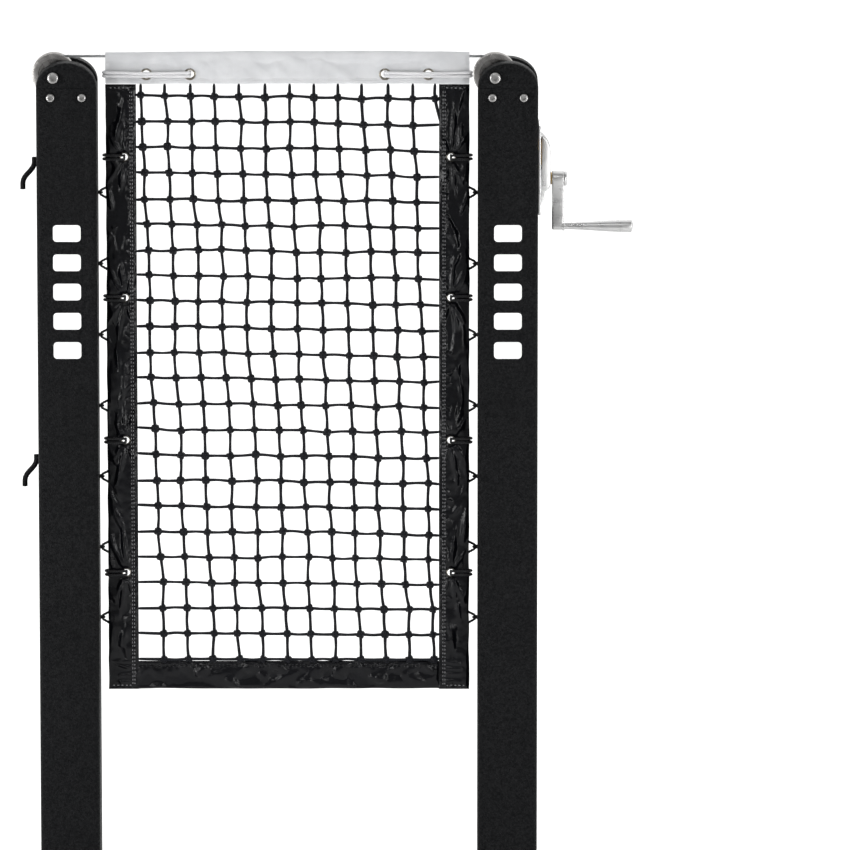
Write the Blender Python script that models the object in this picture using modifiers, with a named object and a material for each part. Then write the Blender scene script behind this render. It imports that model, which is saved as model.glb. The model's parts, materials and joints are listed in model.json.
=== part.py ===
"""A tennis net set: two square posts with pulley heads, a narrow net between them and a worm-geared winder.

Metres, +Z up. The origin is on the ground line, midway between the posts, and Y = 0 is the plane of the net.
The posts stand in ground sockets, so their tubes run on below the ground line.
Run it with: blender --background --python part.py
"""

import math

import bmesh
import bpy
from mathutils import Euler, Matrix, Vector

# ---- Shared ----
GAP = 0.0003  # clearance between neighbouring solids
MERGE = 0.00001  # merge distance of welded vertices
CUT = 0.002  # how far a cutter runs past the face that it opens
ROUND_STEPS = 24  # sides of a large turned piece
BOLT_STEPS = 16  # sides of a small turned piece

# ---- Posts: square tubes, with a plug in the foot ----
POST_SPACING = 0.732  # between the tubes' centre lines
POST_WIDTH = 0.100
POST_WALL = 0.004
POST_CORNER = 0.008
TUBE_TOP = 1.028
TUBE_BOTTOM = -0.400
FOOT_BOTTOM = -0.404
PLUG_HEIGHT = 0.025
NOTCH_WIDTH = 0.027  # the cable's notch in the top edge of the left wall
NOTCH_DEPTH = 0.020

# ---- Post heads: two rounded cheeks with a slot for the sheave, on a spigot that fills the tube ----
HEAD_TOP = 1.070
HEAD_EDGE = 0.005
HEAD_ARC_STEPS = 18
SLOT_WIDTH = 0.034
SPIGOT_DEPTH = 0.052
SPIGOT_CORNER = 0.0035
WEB_START = 0.028  # the web joins the cheeks from here outwards
WEB_HEIGHT = 0.003
AXLE_X = -0.0215  # from the tube's centre line
AXLE_Z = 1.045

# ---- Sheaves, bushes and bolts ----
SHEAVE_RADIUS = 0.036
SHEAVE_HALF_WIDTH = 0.010
SHEAVE_BORE = 0.0083
GROOVE_HALF_WIDTH = 0.0078
GROOVE_ROOT = 0.0272
GROOVE_ROOT_HALF_WIDTH = 0.001
GROOVE_ROOT_ROUND = 0.0008
SHEAVE_CHAMFER = 0.0015
BUSH_RADIUS = 0.0080
BUSH_BORE = 0.0063
BUSH_LENGTH = 0.0334
AXLE_RADIUS = 0.0060
AXLE_BOLT_END = 0.060
AXLE_HEAD_RADIUS = 0.0095
AXLE_HEAD_HEIGHT = 0.0055
NUT_ACROSS_FLATS = 0.017
NUT_HEIGHT = 0.008
HEAD_BOLT_X = 0.026  # either side of the tube's centre line
HEAD_BOLT_Z = 1.012
HEAD_BOLT_RADIUS = 0.0040
HEAD_BOLT_HEAD_RADIUS = 0.0070
HEAD_BOLT_HEAD_HEIGHT = 0.0040
HEAD_BOLT_LENGTH = 0.016

# ---- Cable hooks: bent rods on the left post's outer face ----
HOOK_RADIUS = 0.0045
HOOK_TOPS = {"upper": 0.906, "lower": 0.404}
HOOK_LEG = 0.016
HOOK_REACH = 0.0195
HOOK_DROP = 0.020
HOOK_TIP = 0.018

# ---- Lacing eyes: small wire loops on the posts' inner faces ----
LACING_EYES = 7
LACING_EYE_TOP = 0.845
LACING_EYE_PITCH = 0.120
LACING_EYE_WIRE = 0.0015
LACING_EYE_REACH = 0.0088
LACING_EYE_Y = 0.010
LACING_EYE_HALF_WIDTH = 0.006

# ---- Winder: places are from the right tube's centre line ----
PLATE_WIDTH = 0.088
PLATE_HEIGHT = 0.150
PLATE_THICKNESS = 0.004
PLATE_Z = 0.889
PLATE_CORNER = 0.006
PLATE_SCREW_Y = 0.0365
PLATE_SCREW_Z = 0.067
SCREW_HOLE = 0.0026
SCREW_RADIUS = 0.0022
SCREW_HEAD_RADIUS = 0.0050
SCREW_LENGTH = 0.010
OPENING_WIDTH = 0.080  # in the tube's wall, behind the plate
OPENING_BOTTOM = 0.835
OPENING_TOP = 0.947
WINDOW_FRONT = -0.028  # in the plate, where the drum shows
WINDOW_BACK = 0.010
WINDOW_BOTTOM = 0.884
WINDOW_TOP = 0.938
WHEEL_X = 0.030
WHEEL_Z = 0.911
WHEEL_TEETH = 36
WHEEL_PITCH_RADIUS = 0.035
TOOTH_ROOT_DEPTH = 0.0018
TOOTH_HEIGHT = 0.0016
TOOTH_ROOT_HALF_WIDTH = 0.0015
TOOTH_TIP_HALF_WIDTH = 0.0007
WHEEL_FRONT = 0.0096
WHEEL_BACK = 0.029
WORM_Y = 0.020
WORM_Z = 0.867
BULGE_FRONT = 0.0065
BULGE_BACK = 0.0335
BULGE_RADIUS = 0.0413
BULGE_START_ANGLE = math.radians(57.8)
BULGE_FOOT_Z = 0.845
BULGE_FOOT_RADIUS = 0.016
RIB_WIDTH = 0.014
RIB_DEPTH = 0.022
CAVITY_RADIUS = 0.038
CAVITY_FRONT = 0.009
CAVITY_BACK = 0.031
WORM_CAVITY_RADIUS = 0.0113
SHAFT_RADIUS = 0.0050
SHAFT_BORE = 0.0053
LUG_INNER = 0.033
LUG_OUTER = 0.038
LUG_RADIUS = 0.012
BRACKET_DEPTH = 0.016
BRACKET_TOP = 0.010  # above the worm's axis
BRACKET_STEP = 0.012  # below the worm's axis
BRACKET_FLOOR = 0.020
BULGE_WALL = 0.0036
DRUM_CORE_RADIUS = 0.013
DRUM_FLANGE_RADIUS = 0.020
DRUM_FLANGE_FRONT = -0.029
DRUM_FLANGE_BACK = -0.026
DRUM_RIM_RADIUS = 0.024
DRUM_RIM_FRONT = -0.010
HUB_RADIUS = 0.009

# ---- Worm, its bush, and the crank ----
WORM_CORE_RADIUS = 0.007
WORM_THREAD_RADIUS = 0.0083
WORM_THREAD_SECTION = 0.0016
WORM_THREAD_START = 0.013
WORM_THREAD_END = 0.047
WORM_TURN_STEPS = 12
WORM_SHAFT_START = 0.002
WORM_SHAFT_END = 0.0875
WORM_CORE_START = 0.010
WORM_CORE_END = 0.050
WORM_BUSH_RADIUS = 0.007
WORM_BUSH_START = 0.064
WORM_BUSH_FLANGE_RADIUS = 0.0105
WORM_BUSH_FLANGE_END = 0.0734
CRANK_START = 0.0737
CRANK_WIDTH = 0.020
CRANK_HUB_RADIUS = 0.0135
CRANK_ARM_HALF_WIDTH = 0.0068
CRANK_THROW = 0.080
CRANK_EDGE = 0.0025
GRIP_LENGTH = 0.115
GRIP_NECK_RADIUS = 0.0060
GRIP_END_RADIUS = 0.0110
GRIP_END_START = math.radians(8.6)  # the dome leaves a small flat on its tip
CRANK_SCREW_HEAD_RADIUS = 0.0125
CRANK_SCREW_HEAD_HEIGHT = 0.0047
CRANK_SCREW_SHANK_RADIUS = 0.0045

# ---- Net: cable, headband, mesh and bands ----
CABLE_RADIUS = 0.0025
CABLE_Z = 1.075
CABLE_PITCH_RADIUS = 0.030  # where it lies in a sheave's groove
CABLE_END = (0.0136, -0.017, 0.919)  # from the right tube's centre line, just above the drum
BAND_HALF_LENGTH = 0.3022
BAND_BOTTOM = 1.0284
BAND_TOP = 1.0845
BAND_SHEET = 0.0012
BAND_HALF_WIDTH = 0.0044
BAND_FOOT_HALF_WIDTH = 0.0020
BAND_EYELETS_X = (0.162, 0.234)
BAND_EYELET_Z = 1.045
BAND_EYELET_HOLE = 0.0080
BAND_EYELET_RADIUS = 0.010
BAND_EYELET_BORE = 0.0065
BAND_EYELET_LIP = 0.0045  # from the net's plane to the flange's face
BAND_EYELET_SEAT = 0.0037  # and to the flange's back
NET_HALF_WIDTH = 0.2505
NET_THICKNESS = 0.001
NET_BOTTOM = 0.0525
NET_TOP = 1.034
SIDE_BAND_INNER = 0.2515
SIDE_BAND_OUTER = 0.303
SIDE_BAND_TOP = 1.028
BANDS_BOTTOM = 0.004
BANDS_THICKNESS = 0.006
BANDS_EDGE = 0.002
BOTTOM_BAND_HALF_LENGTH = 0.2511
BOTTOM_BAND_TOP = 0.052
EYELET_X = 0.2715
EYELET_HOLE = 0.0065
EYELETS_Z = (0.906, 0.669, 0.428, 0.203)

# ---- Cords and ropes ----
CORD_RADIUS = 0.0026
CORD_STRAND_OFFSET = 0.0032  # each strand from the middle of its pair
CORD_Y = 0.0076
ROPE_RADIUS = 0.0023
ROPE_BACK_Y = 0.007
ROPE_FRONT_Y = -0.0062
ROPE_RUN_X = 0.294
ROPE_TOP = 0.945
ROPE_BOTTOM = 0.098
ROPE_LOOP_HALF_HEIGHTS = (0.018, 0.0105, 0.003)  # where it leaves its run, slants and passes the eye

LOOKS = {  # colour, roughness, metallic
    "powder_coat": ((0.018, 0.018, 0.019), 0.55, 0.0),
    "polished": ((0.78, 0.78, 0.77), 0.18, 1.0),
    "stainless": ((0.60, 0.60, 0.59), 0.30, 1.0),
    "brass": ((0.72, 0.55, 0.22), 0.25, 1.0),
    "bronze": ((0.42, 0.30, 0.14), 0.35, 1.0),
    "steel_cable": ((0.50, 0.50, 0.50), 0.40, 1.0),
    "nickel": ((0.62, 0.60, 0.55), 0.25, 1.0),
    "white_vinyl": ((0.80, 0.81, 0.82), 0.45, 0.0),
    "black_vinyl": ((0.012, 0.012, 0.014), 0.20, 0.0),
    "twine": ((0.010, 0.011, 0.013), 0.65, 0.0),
    "white_cord": ((0.75, 0.75, 0.74), 0.70, 0.0),
    "black_rope": ((0.015, 0.015, 0.016), 0.70, 0.0),
    "black_plastic": ((0.020, 0.020, 0.020), 0.50, 0.0),
}

PLANES = {  # how a flat outline turns to lie in each plane
    "XY": Euler((0, 0, 0)),
    "XZ": Euler((math.pi / 2, 0, 0)),
    "YZ": Euler((math.pi / 2, 0, math.pi / 2)),
}
AXES = {  # how local Z turns to point along each axis
    "X": Euler((0, math.pi / 2, 0)),
    "Y": Euler((-math.pi / 2, 0, 0)),
    "Z": Euler((0, 0, 0)),
}
SIDES = {"left": -1, "right": 1}


# ---- Helpers: scene and placing ----


def start_scene():
    """Clears the scene and makes one collection for the parts and another for the cutters."""
    for thing in list(bpy.data.objects):
        bpy.data.objects.remove(thing, do_unlink=True)
    for name in ("tennis_net_set", "cutters"):
        collection = bpy.data.collections.new(name)
        bpy.context.scene.collection.children.link(collection)


def finish_of(name, look):
    """A piece's own Principled material in one of the set's looks."""
    colour, roughness, metallic = LOOKS[look]
    material = bpy.data.materials.new(name + "_finish")
    material.use_nodes = True
    shader = material.node_tree.nodes["Principled BSDF"]
    shader.inputs["Base Color"].default_value = (*colour, 1.0)
    shader.inputs["Roughness"].default_value = roughness
    shader.inputs["Metallic"].default_value = metallic
    material.diffuse_color = (*colour, 1.0)
    return material


def add_piece(name, mesh, look, centre=(0, 0, 0), turn=Euler()):
    """Puts a mesh in the scene as a part, or as a helper shape when it has no look."""
    piece = bpy.data.objects.new(name, mesh)
    bpy.data.collections["tennis_net_set"].objects.link(piece)
    piece.location = centre
    piece.rotation_euler = turn
    if look:
        mesh.materials.append(finish_of(name, look))
        mesh.shade_smooth()
        mesh.set_sharp_from_angle(angle=math.radians(35))
    return piece


def combine(piece, operation, *helpers):
    """Joins or cuts a piece with helper shapes, which move to the cutters' collection."""
    for helper in helpers:
        change = piece.modifiers.new(operation.lower(), "BOOLEAN")
        change.operation = operation
        change.solver = "EXACT"
        change.object = helper
        helper.hide_render = True
        helper.display_type = "WIRE"
        bpy.data.collections["tennis_net_set"].objects.unlink(helper)
        bpy.data.collections["cutters"].objects.link(helper)
    return piece


def add_pivot(name, centre):
    """An empty at a joint's axis or a sub-assembly's middle."""
    pivot = bpy.data.objects.new(name, None)
    pivot.location = centre
    bpy.data.collections["tennis_net_set"].objects.link(pivot)
    return pivot


def attach(pivot, *pieces):
    """Parents pieces to an unrotated empty and leaves them where they are."""
    for piece in pieces:
        piece.parent = pivot
        piece.matrix_parent_inverse = Matrix.Translation(-pivot.location)


# ---- Helpers: shapes ----


def box(name, low, high, look=None):
    """A box between two corners."""
    low, high = Vector(low), Vector(high)
    bm = bmesh.new()
    bmesh.ops.create_cube(bm, size=1)
    bmesh.ops.scale(bm, vec=high - low, verts=bm.verts)
    mesh = bpy.data.meshes.new(name)
    bm.to_mesh(mesh)
    bm.free()
    return add_piece(name, mesh, look, (low + high) / 2)


def cylinder(name, axis, start, end, radius, steps=BOLT_STEPS, end_radius=None):
    """A round, conical or few-sided helper shape between two points on one axis."""
    start, end = Vector(start), Vector(end)
    bm = bmesh.new()
    bmesh.ops.create_cone(
        bm,
        cap_ends=True,
        segments=steps,
        radius1=radius,
        radius2=radius if end_radius is None else end_radius,
        depth=(end - start).length,
    )
    mesh = bpy.data.meshes.new(name)
    bm.to_mesh(mesh)
    bm.free()
    return add_piece(name, mesh, None, (start + end) / 2, AXES[axis])


def turned(name, profile, axis, centre, look=None, steps=ROUND_STEPS, ring=False):
    """A profile of (radius, height) points turned round its axis; it runs down the outer side.

    A ring's profile closes on itself. Any other is closed onto the axis at both ends.
    """
    if not ring:
        profile = [(0, profile[0][1]), *profile, (0, profile[-1][1])]
    bm = bmesh.new()
    points = [bm.verts.new((radius, 0, height)) for radius, height in profile]
    followers = points[1:] + points[:1] if ring else points[1:]
    for point, follower in zip(points, followers):
        bm.edges.new((point, follower))
    mesh = bpy.data.meshes.new(name)
    bm.to_mesh(mesh)
    bm.free()
    piece = add_piece(name, mesh, look, centre, AXES[axis])
    turn = piece.modifiers.new("turn", "SCREW")
    turn.steps = steps
    turn.render_steps = steps
    turn.use_merge_vertices = True
    turn.merge_threshold = MERGE
    return piece


def as_mesh(curve, name, look, centre, turn, twist=0.0):
    """Makes a closed mesh piece of a curve, turned about local Z by a twist per metre of height."""
    guide = bpy.data.objects.new(name + "_guide", curve)
    bpy.data.collections["tennis_net_set"].objects.link(guide)
    bpy.context.view_layer.update()
    evaluated = guide.evaluated_get(bpy.context.evaluated_depsgraph_get())
    mesh = bpy.data.meshes.new_from_object(evaluated)
    bpy.data.objects.remove(guide, do_unlink=True)
    bm = bmesh.new()
    bm.from_mesh(mesh)
    bmesh.ops.remove_doubles(bm, verts=bm.verts, dist=MERGE)
    bmesh.ops.recalc_face_normals(bm, faces=bm.faces)
    for vertex in bm.verts:
        vertex.co.rotate(Euler((0, 0, twist * vertex.co.z)))
    bm.to_mesh(mesh)
    bm.free()
    return add_piece(name, mesh, look, centre, turn)


def outline(name, loops, thickness, plane, centre, look=None, rounding=0.0, twist=0.0):
    """Flat outlines, nested ones being holes, given a thickness and rounded edges."""
    curve = bpy.data.curves.new(name, "CURVE")
    curve.dimensions = "2D"
    curve.fill_mode = "BOTH"
    curve.extrude = thickness / 2 - rounding
    curve.bevel_depth = rounding
    curve.bevel_resolution = 1
    curve.offset = -rounding
    for points in loops:
        spline = curve.splines.new("POLY")
        spline.points.add(len(points) - 1)
        for place, (x, y) in zip(spline.points, points):
            place.co = (x, y, 0, 1)
        spline.use_cyclic_u = True
    return as_mesh(curve, name, look, centre, PLANES[plane], twist)


def rod(name, points, radius, look=None, resolution=2):
    """A round rod, wire or rope along a chain of points."""
    curve = bpy.data.curves.new(name, "CURVE")
    curve.dimensions = "3D"
    curve.bevel_depth = radius
    curve.bevel_resolution = resolution
    curve.use_fill_caps = True
    spline = curve.splines.new("POLY")
    spline.points.add(len(points) - 1)
    for place, point in zip(spline.points, points):
        place.co = (*point, 1)
    return as_mesh(curve, name, look, (0, 0, 0), Euler())


def arc(centre, radii, start, end, steps):
    """Points along an arc of a circle or an ellipse, both ends included."""
    for step in range(steps + 1):
        angle = start + (end - start) * step / steps
        yield centre[0] + radii[0] * math.cos(angle), centre[1] + radii[1] * math.sin(angle)


def rounded_rectangle(width, height, corner, steps=4):
    """The outline of a rectangle with round corners, about its own middle."""
    points = []
    for quarter, (x, y) in enumerate(((1, 1), (-1, 1), (-1, -1), (1, -1))):
        middle = (x * (width / 2 - corner), y * (height / 2 - corner))
        start = quarter * math.pi / 2
        points += arc(middle, (corner, corner), start, start + math.pi / 2, steps)
    return points


def rounded_path(points, radius, steps=3):
    """A chain of points with its inner corners replaced by arcs-like curves of about this radius."""
    points = [Vector(point) for point in points]
    path = [points[0]]
    for before, corner, after in zip(points, points[1:], points[2:]):
        reach_in = min(radius, (before - corner).length * 0.45)
        reach_out = min(radius, (after - corner).length * 0.45)
        start = corner + (before - corner).normalized() * reach_in
        end = corner + (after - corner).normalized() * reach_out
        for step in range(steps + 1):
            share = step / steps
            path.append((1 - share) ** 2 * start + 2 * share * (1 - share) * corner + share**2 * end)
    return path + [points[-1]]


# ---- Fasteners ----


def socket_bolt(name, face, head_radius, head_height, shank_radius, shank_length):
    """A button-head bolt with a hex socket: its head is on the -Y side of the face, its shank behind it."""
    profile = [
        (shank_radius * 0.8, shank_length),
        (shank_radius, shank_length - shank_radius * 0.2),
        (shank_radius, 0),
        (head_radius, 0),
        (head_radius, -head_height * 0.4),
        (head_radius * 0.62, -head_height),
    ]
    bolt = turned(name, profile, "Y", face, "stainless", BOLT_STEPS)
    x, y, z = face
    start, end = (x, y - head_height - CUT, z), (x, y - head_height * 0.4, z)
    socket = cylinder(name + "_socket", "Y", start, end, head_radius * 0.4, 6)
    return combine(bolt, "DIFFERENCE", socket)


def axle_nut(side, pivot):
    """A hexagon nut on the axle bolt's end, against the head's back face."""
    corner = NUT_ACROSS_FLATS / 2 / math.cos(math.pi / 6)
    hexagon = list(arc((0, 0), (corner, corner), 0, math.tau, 6))[:-1]
    bore = AXLE_RADIUS + GAP
    hole = list(arc((0, 0), (bore, bore), 0, math.tau, BOLT_STEPS))[:-1]
    centre = (pivot[0], POST_WIDTH / 2 + GAP + NUT_HEIGHT / 2, pivot[2])
    return outline(f"{side}_axle_nut", [hexagon, hole], NUT_HEIGHT, "XZ", centre, "stainless")


def plate_screw(number, face):
    """A countersunk cross-recess screw, its head flush with the plate's outer face."""
    name = f"winder_screw_{number}"
    profile = [
        (SCREW_HEAD_RADIUS, 0),
        (SCREW_RADIUS, SCREW_RADIUS - SCREW_HEAD_RADIUS),
        (SCREW_RADIUS, -SCREW_LENGTH),
    ]
    screw = turned(name, profile, "X", face, "stainless", BOLT_STEPS)
    reach, half_width, depth = SCREW_HEAD_RADIUS * 0.55, SCREW_HEAD_RADIUS * 0.1, SCREW_HEAD_RADIUS * 0.3
    for across, (half_y, half_z) in enumerate(((reach, half_width), (half_width, reach))):
        low = Vector(face) - Vector((depth, half_y, half_z))
        high = Vector(face) + Vector((CUT, half_y, half_z))
        combine(screw, "DIFFERENCE", box(f"{name}_recess_{across}", low, high))
    return screw


# ---- Posts ----


def post_x(side):
    """The tube's centre line."""
    return SIDES[side] * POST_SPACING / 2


def axle_centre(side):
    """The middle of a sheave."""
    return Vector((post_x(side) + AXLE_X, 0, AXLE_Z))


def build_tube(side):
    """The square tube, with holes for what is fastened to it and a notch for the cable."""
    x = post_x(side)
    inner = POST_WIDTH - 2 * POST_WALL
    loops = [
        rounded_rectangle(POST_WIDTH, POST_WIDTH, POST_CORNER),
        rounded_rectangle(inner, inner, POST_CORNER - POST_WALL),
    ]
    middle = (x, 0, (TUBE_TOP + TUBE_BOTTOM) / 2)
    tube = outline(f"{side}_post_tube", loops, TUBE_TOP - TUBE_BOTTOM, "XY", middle, "powder_coat")
    half = POST_WIDTH / 2
    low = (x - half - CUT, -NOTCH_WIDTH / 2, TUBE_TOP - NOTCH_DEPTH)
    high = (x - half + POST_WALL + CUT, NOTCH_WIDTH / 2, TUBE_TOP + CUT)
    combine(tube, "DIFFERENCE", box(f"{side}_notch", low, high))
    for sign in (-1, 1):
        bolt_x = x + sign * HEAD_BOLT_X
        start = (bolt_x, -half - CUT, HEAD_BOLT_Z)
        end = (bolt_x, -half + POST_WALL + CUT, HEAD_BOLT_Z)
        combine(tube, "DIFFERENCE", cylinder(f"{side}_bolt_hole", "Y", start, end, HEAD_BOLT_RADIUS + GAP))
    return tube


def build_head(side):
    """The two cheeks that hold the sheave, with the spigot that fits in the tube."""
    name = f"{side}_post_head"
    x = post_x(side)
    joint = TUBE_TOP + GAP
    half = POST_WIDTH / 2
    skirt = 2 * HEAD_EDGE
    dome = list(arc((0, 0), (half, HEAD_TOP - joint), 0, math.pi, HEAD_ARC_STEPS))
    dome += [(-half, -skirt), (half, -skirt)]
    head = outline(name, [dome], POST_WIDTH, "XZ", (x, 0, joint), "powder_coat", HEAD_EDGE)
    low = (x - POST_WIDTH, -POST_WIDTH, joint - 2 * skirt)
    below = box(name + "_below", low, (x + POST_WIDTH, POST_WIDTH, joint))
    width = POST_WIDTH - 2 * POST_WALL - 2 * GAP
    spigot_middle = (x, 0, joint + (CUT - SPIGOT_DEPTH) / 2)
    spigot_loop = rounded_rectangle(width, width, SPIGOT_CORNER, 2)
    spigot = outline(name + "_spigot", [spigot_loop], SPIGOT_DEPTH + CUT, "XY", spigot_middle)
    combine(head, "DIFFERENCE", below)
    combine(head, "UNION", spigot)
    slot_half = SLOT_WIDTH / 2
    web_top = joint + WEB_HEIGHT
    low = (x - POST_WIDTH, -slot_half, web_top)
    upper = box(name + "_slot", low, (x + POST_WIDTH, slot_half, HEAD_TOP + CUT))
    low = (x - POST_WIDTH, -slot_half, joint - SPIGOT_DEPTH - CUT)
    lower = box(name + "_throat", low, (x + WEB_START, slot_half, web_top + CUT))
    combine(head, "DIFFERENCE", upper, lower)
    axle = axle_centre(side)
    reach = Vector((0, half + CUT, 0))
    bore = cylinder(name + "_bore", "Y", axle - reach, axle + reach, AXLE_RADIUS + GAP)
    combine(head, "DIFFERENCE", bore)
    for sign in (-1, 1):
        bolt_x = x + sign * HEAD_BOLT_X
        start = (bolt_x, -half - CUT, HEAD_BOLT_Z)
        end = (bolt_x, -half + HEAD_BOLT_LENGTH + CUT, HEAD_BOLT_Z)
        hole = cylinder(name + "_bolt_hole", "Y", start, end, HEAD_BOLT_RADIUS + GAP)
        combine(head, "DIFFERENCE", hole)
    return head


def build_foot_plug(side):
    """The moulded plug that closes the tube's lower end."""
    name = f"{side}_foot_plug"
    x = post_x(side)
    top = TUBE_BOTTOM - GAP
    flange_loop = rounded_rectangle(POST_WIDTH, POST_WIDTH, POST_CORNER)
    thickness = top - FOOT_BOTTOM
    flange_middle = (x, 0, FOOT_BOTTOM + thickness / 2)
    plug = outline(name, [flange_loop], thickness, "XY", flange_middle, "black_plastic")
    width = POST_WIDTH - 2 * POST_WALL - 2 * GAP
    core_middle = (x, 0, top + (PLUG_HEIGHT - CUT) / 2)
    core_loop = rounded_rectangle(width, width, SPIGOT_CORNER, 2)
    core = outline(name + "_core", [core_loop], PLUG_HEIGHT + CUT, "XY", core_middle)
    return combine(plug, "UNION", core)


def build_sheave(side):
    """The grooved sheave on its bush, both turning about the axle."""
    axle = axle_centre(side)
    slope_foot = GROOVE_ROOT + GROOVE_ROOT_ROUND
    outer = [
        (SHEAVE_BORE, SHEAVE_HALF_WIDTH),
        (SHEAVE_RADIUS - SHEAVE_CHAMFER, SHEAVE_HALF_WIDTH),
        (SHEAVE_RADIUS, SHEAVE_HALF_WIDTH - SHEAVE_CHAMFER / 2),
        (SHEAVE_RADIUS, GROOVE_HALF_WIDTH),
        (slope_foot, 2 * GROOVE_ROOT_HALF_WIDTH),
        (GROOVE_ROOT, GROOVE_ROOT_HALF_WIDTH),
    ]
    profile = outer + [(radius, -height) for radius, height in reversed(outer)]
    sheave = turned(f"{side}_sheave", profile, "Y", axle, "polished", ring=True)
    half = BUSH_LENGTH / 2
    bush_profile = [(BUSH_RADIUS, half), (BUSH_RADIUS, -half), (BUSH_BORE, -half), (BUSH_BORE, half)]
    bush = turned(f"{side}_sheave_bush", bush_profile, "Y", axle, "bronze", BOLT_STEPS, ring=True)
    attach(add_pivot(f"{side}_sheave_pivot", axle), sheave, bush)


def build_post(side):
    """A whole post: tube, head, plug, sheave, axle and bolts."""
    x = post_x(side)
    axle = axle_centre(side)
    front = -POST_WIDTH / 2 - GAP
    face = (axle.x, front, axle.z)
    length = AXLE_BOLT_END - front
    axle_bolt = socket_bolt(
        f"{side}_axle_bolt", face, AXLE_HEAD_RADIUS, AXLE_HEAD_HEIGHT, AXLE_RADIUS, length
    )
    pieces = [build_tube(side), build_head(side), build_foot_plug(side), axle_bolt, axle_nut(side, axle)]
    for sign, place in ((-1, "left"), (1, "right")):
        face = (x + sign * HEAD_BOLT_X, front, HEAD_BOLT_Z)
        head = (HEAD_BOLT_HEAD_RADIUS, HEAD_BOLT_HEAD_HEIGHT)
        shank = (HEAD_BOLT_RADIUS, HEAD_BOLT_LENGTH)
        pieces.append(socket_bolt(f"{side}_head_bolt_{place}", face, *head, *shank))
    pieces += [build_lacing_eye(side, number) for number in range(1, LACING_EYES + 1)]
    build_sheave(side)
    attach(add_pivot(f"{side}_post", Vector((x, 0, 0))), *pieces)
    return pieces


def build_lacing_eye(side, number):
    """A wire loop, welded by its two legs to the post's inner face."""
    face = (POST_SPACING - POST_WIDTH) / 2
    z = LACING_EYE_TOP - LACING_EYE_PITCH * (number - 1)
    root = SIDES[side] * (face - GAP)
    bar = SIDES[side] * (face - LACING_EYE_REACH + LACING_EYE_WIRE)
    front, back = LACING_EYE_Y - LACING_EYE_HALF_WIDTH, LACING_EYE_Y + LACING_EYE_HALF_WIDTH
    points = [(root, front, z), (bar, front, z), (bar, back, z), (root, back, z)]
    path = rounded_path(points, 2 * LACING_EYE_WIRE, 1)
    return rod(f"{side}_lacing_eye_{number}", path, LACING_EYE_WIRE, "powder_coat", 1)


def build_cable_hook(level):
    """A bent rod on the left post's outer face: a short leg, a slanting reach and an upright tip."""
    x = post_x("left") - POST_WIDTH / 2 - GAP - HOOK_RADIUS
    top = HOOK_TOPS[level]
    bend = top - HOOK_LEG - HOOK_DROP
    tip_x = x - HOOK_REACH
    points = [(x, 0, top), (x, 0, top - HOOK_LEG), (tip_x, 0, bend), (tip_x, 0, bend - HOOK_TIP)]
    path = rounded_path(points, 2.5 * HOOK_RADIUS)
    return rod(f"left_cable_hook_{level}", path, HOOK_RADIUS, "powder_coat")


# ---- Winder ----


def plate_face():
    """The winder plate's outer face."""
    return post_x("right") + POST_WIDTH / 2 + GAP + PLATE_THICKNESS


def plate_screw_places():
    """The four screws' places across the plate."""
    for z in (PLATE_Z + PLATE_SCREW_Z, PLATE_Z - PLATE_SCREW_Z):
        for y in (-PLATE_SCREW_Y, PLATE_SCREW_Y):
            yield y, z


def open_right_tube(tube):
    """The winder's opening and screw holes in the right tube."""
    wall = post_x("right") + POST_WIDTH / 2 - POST_WALL
    low = (wall - CUT, -OPENING_WIDTH / 2, OPENING_BOTTOM)
    high = (wall + POST_WALL + CUT, OPENING_WIDTH / 2, OPENING_TOP)
    combine(tube, "DIFFERENCE", box("winder_opening", low, high))
    for y, z in plate_screw_places():
        start, end = (wall - CUT, y, z), (wall + POST_WALL + CUT, y, z)
        combine(tube, "DIFFERENCE", cylinder("winder_screw_tapping", "X", start, end, SCREW_HOLE))


def bulge_shape(x):
    """The housing's round cover over the worm wheel, with the rib below it."""
    back = POST_WIDTH / 2 + GAP + PLATE_THICKNESS / 4
    centre = (WHEEL_X, WHEEL_Z)
    cover = list(arc(centre, (BULGE_RADIUS, BULGE_RADIUS), BULGE_START_ANGLE, 0, 12))
    foot = (WHEEL_X + BULGE_RADIUS - BULGE_FOOT_RADIUS, BULGE_FOOT_Z + BULGE_FOOT_RADIUS)
    cover += arc(foot, (BULGE_FOOT_RADIUS, BULGE_FOOT_RADIUS), 0, -math.pi / 2, 6)
    cover = [(back, cover[0][1]), *cover, (back, BULGE_FOOT_Z)]
    middle_y = (BULGE_FRONT + BULGE_BACK) / 2
    bulge = outline("bulge", [cover], BULGE_BACK - BULGE_FRONT, "XZ", (x, middle_y, 0), rounding=0.002)
    rib_reach = foot[0] + BULGE_FOOT_RADIUS * 0.4
    rib_outline = [
        (back, BULGE_FOOT_Z + BULGE_FOOT_RADIUS / 2),
        (rib_reach, BULGE_FOOT_Z + BULGE_FOOT_RADIUS / 2),
        (rib_reach, BULGE_FOOT_Z - RIB_DEPTH / 2),
        (foot[0], BULGE_FOOT_Z - RIB_DEPTH),
        (back, BULGE_FOOT_Z - RIB_DEPTH),
    ]
    rib = outline("rib", [rib_outline], RIB_WIDTH, "XZ", (x, WORM_Y, 0), rounding=0.001)
    return bulge, rib


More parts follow.
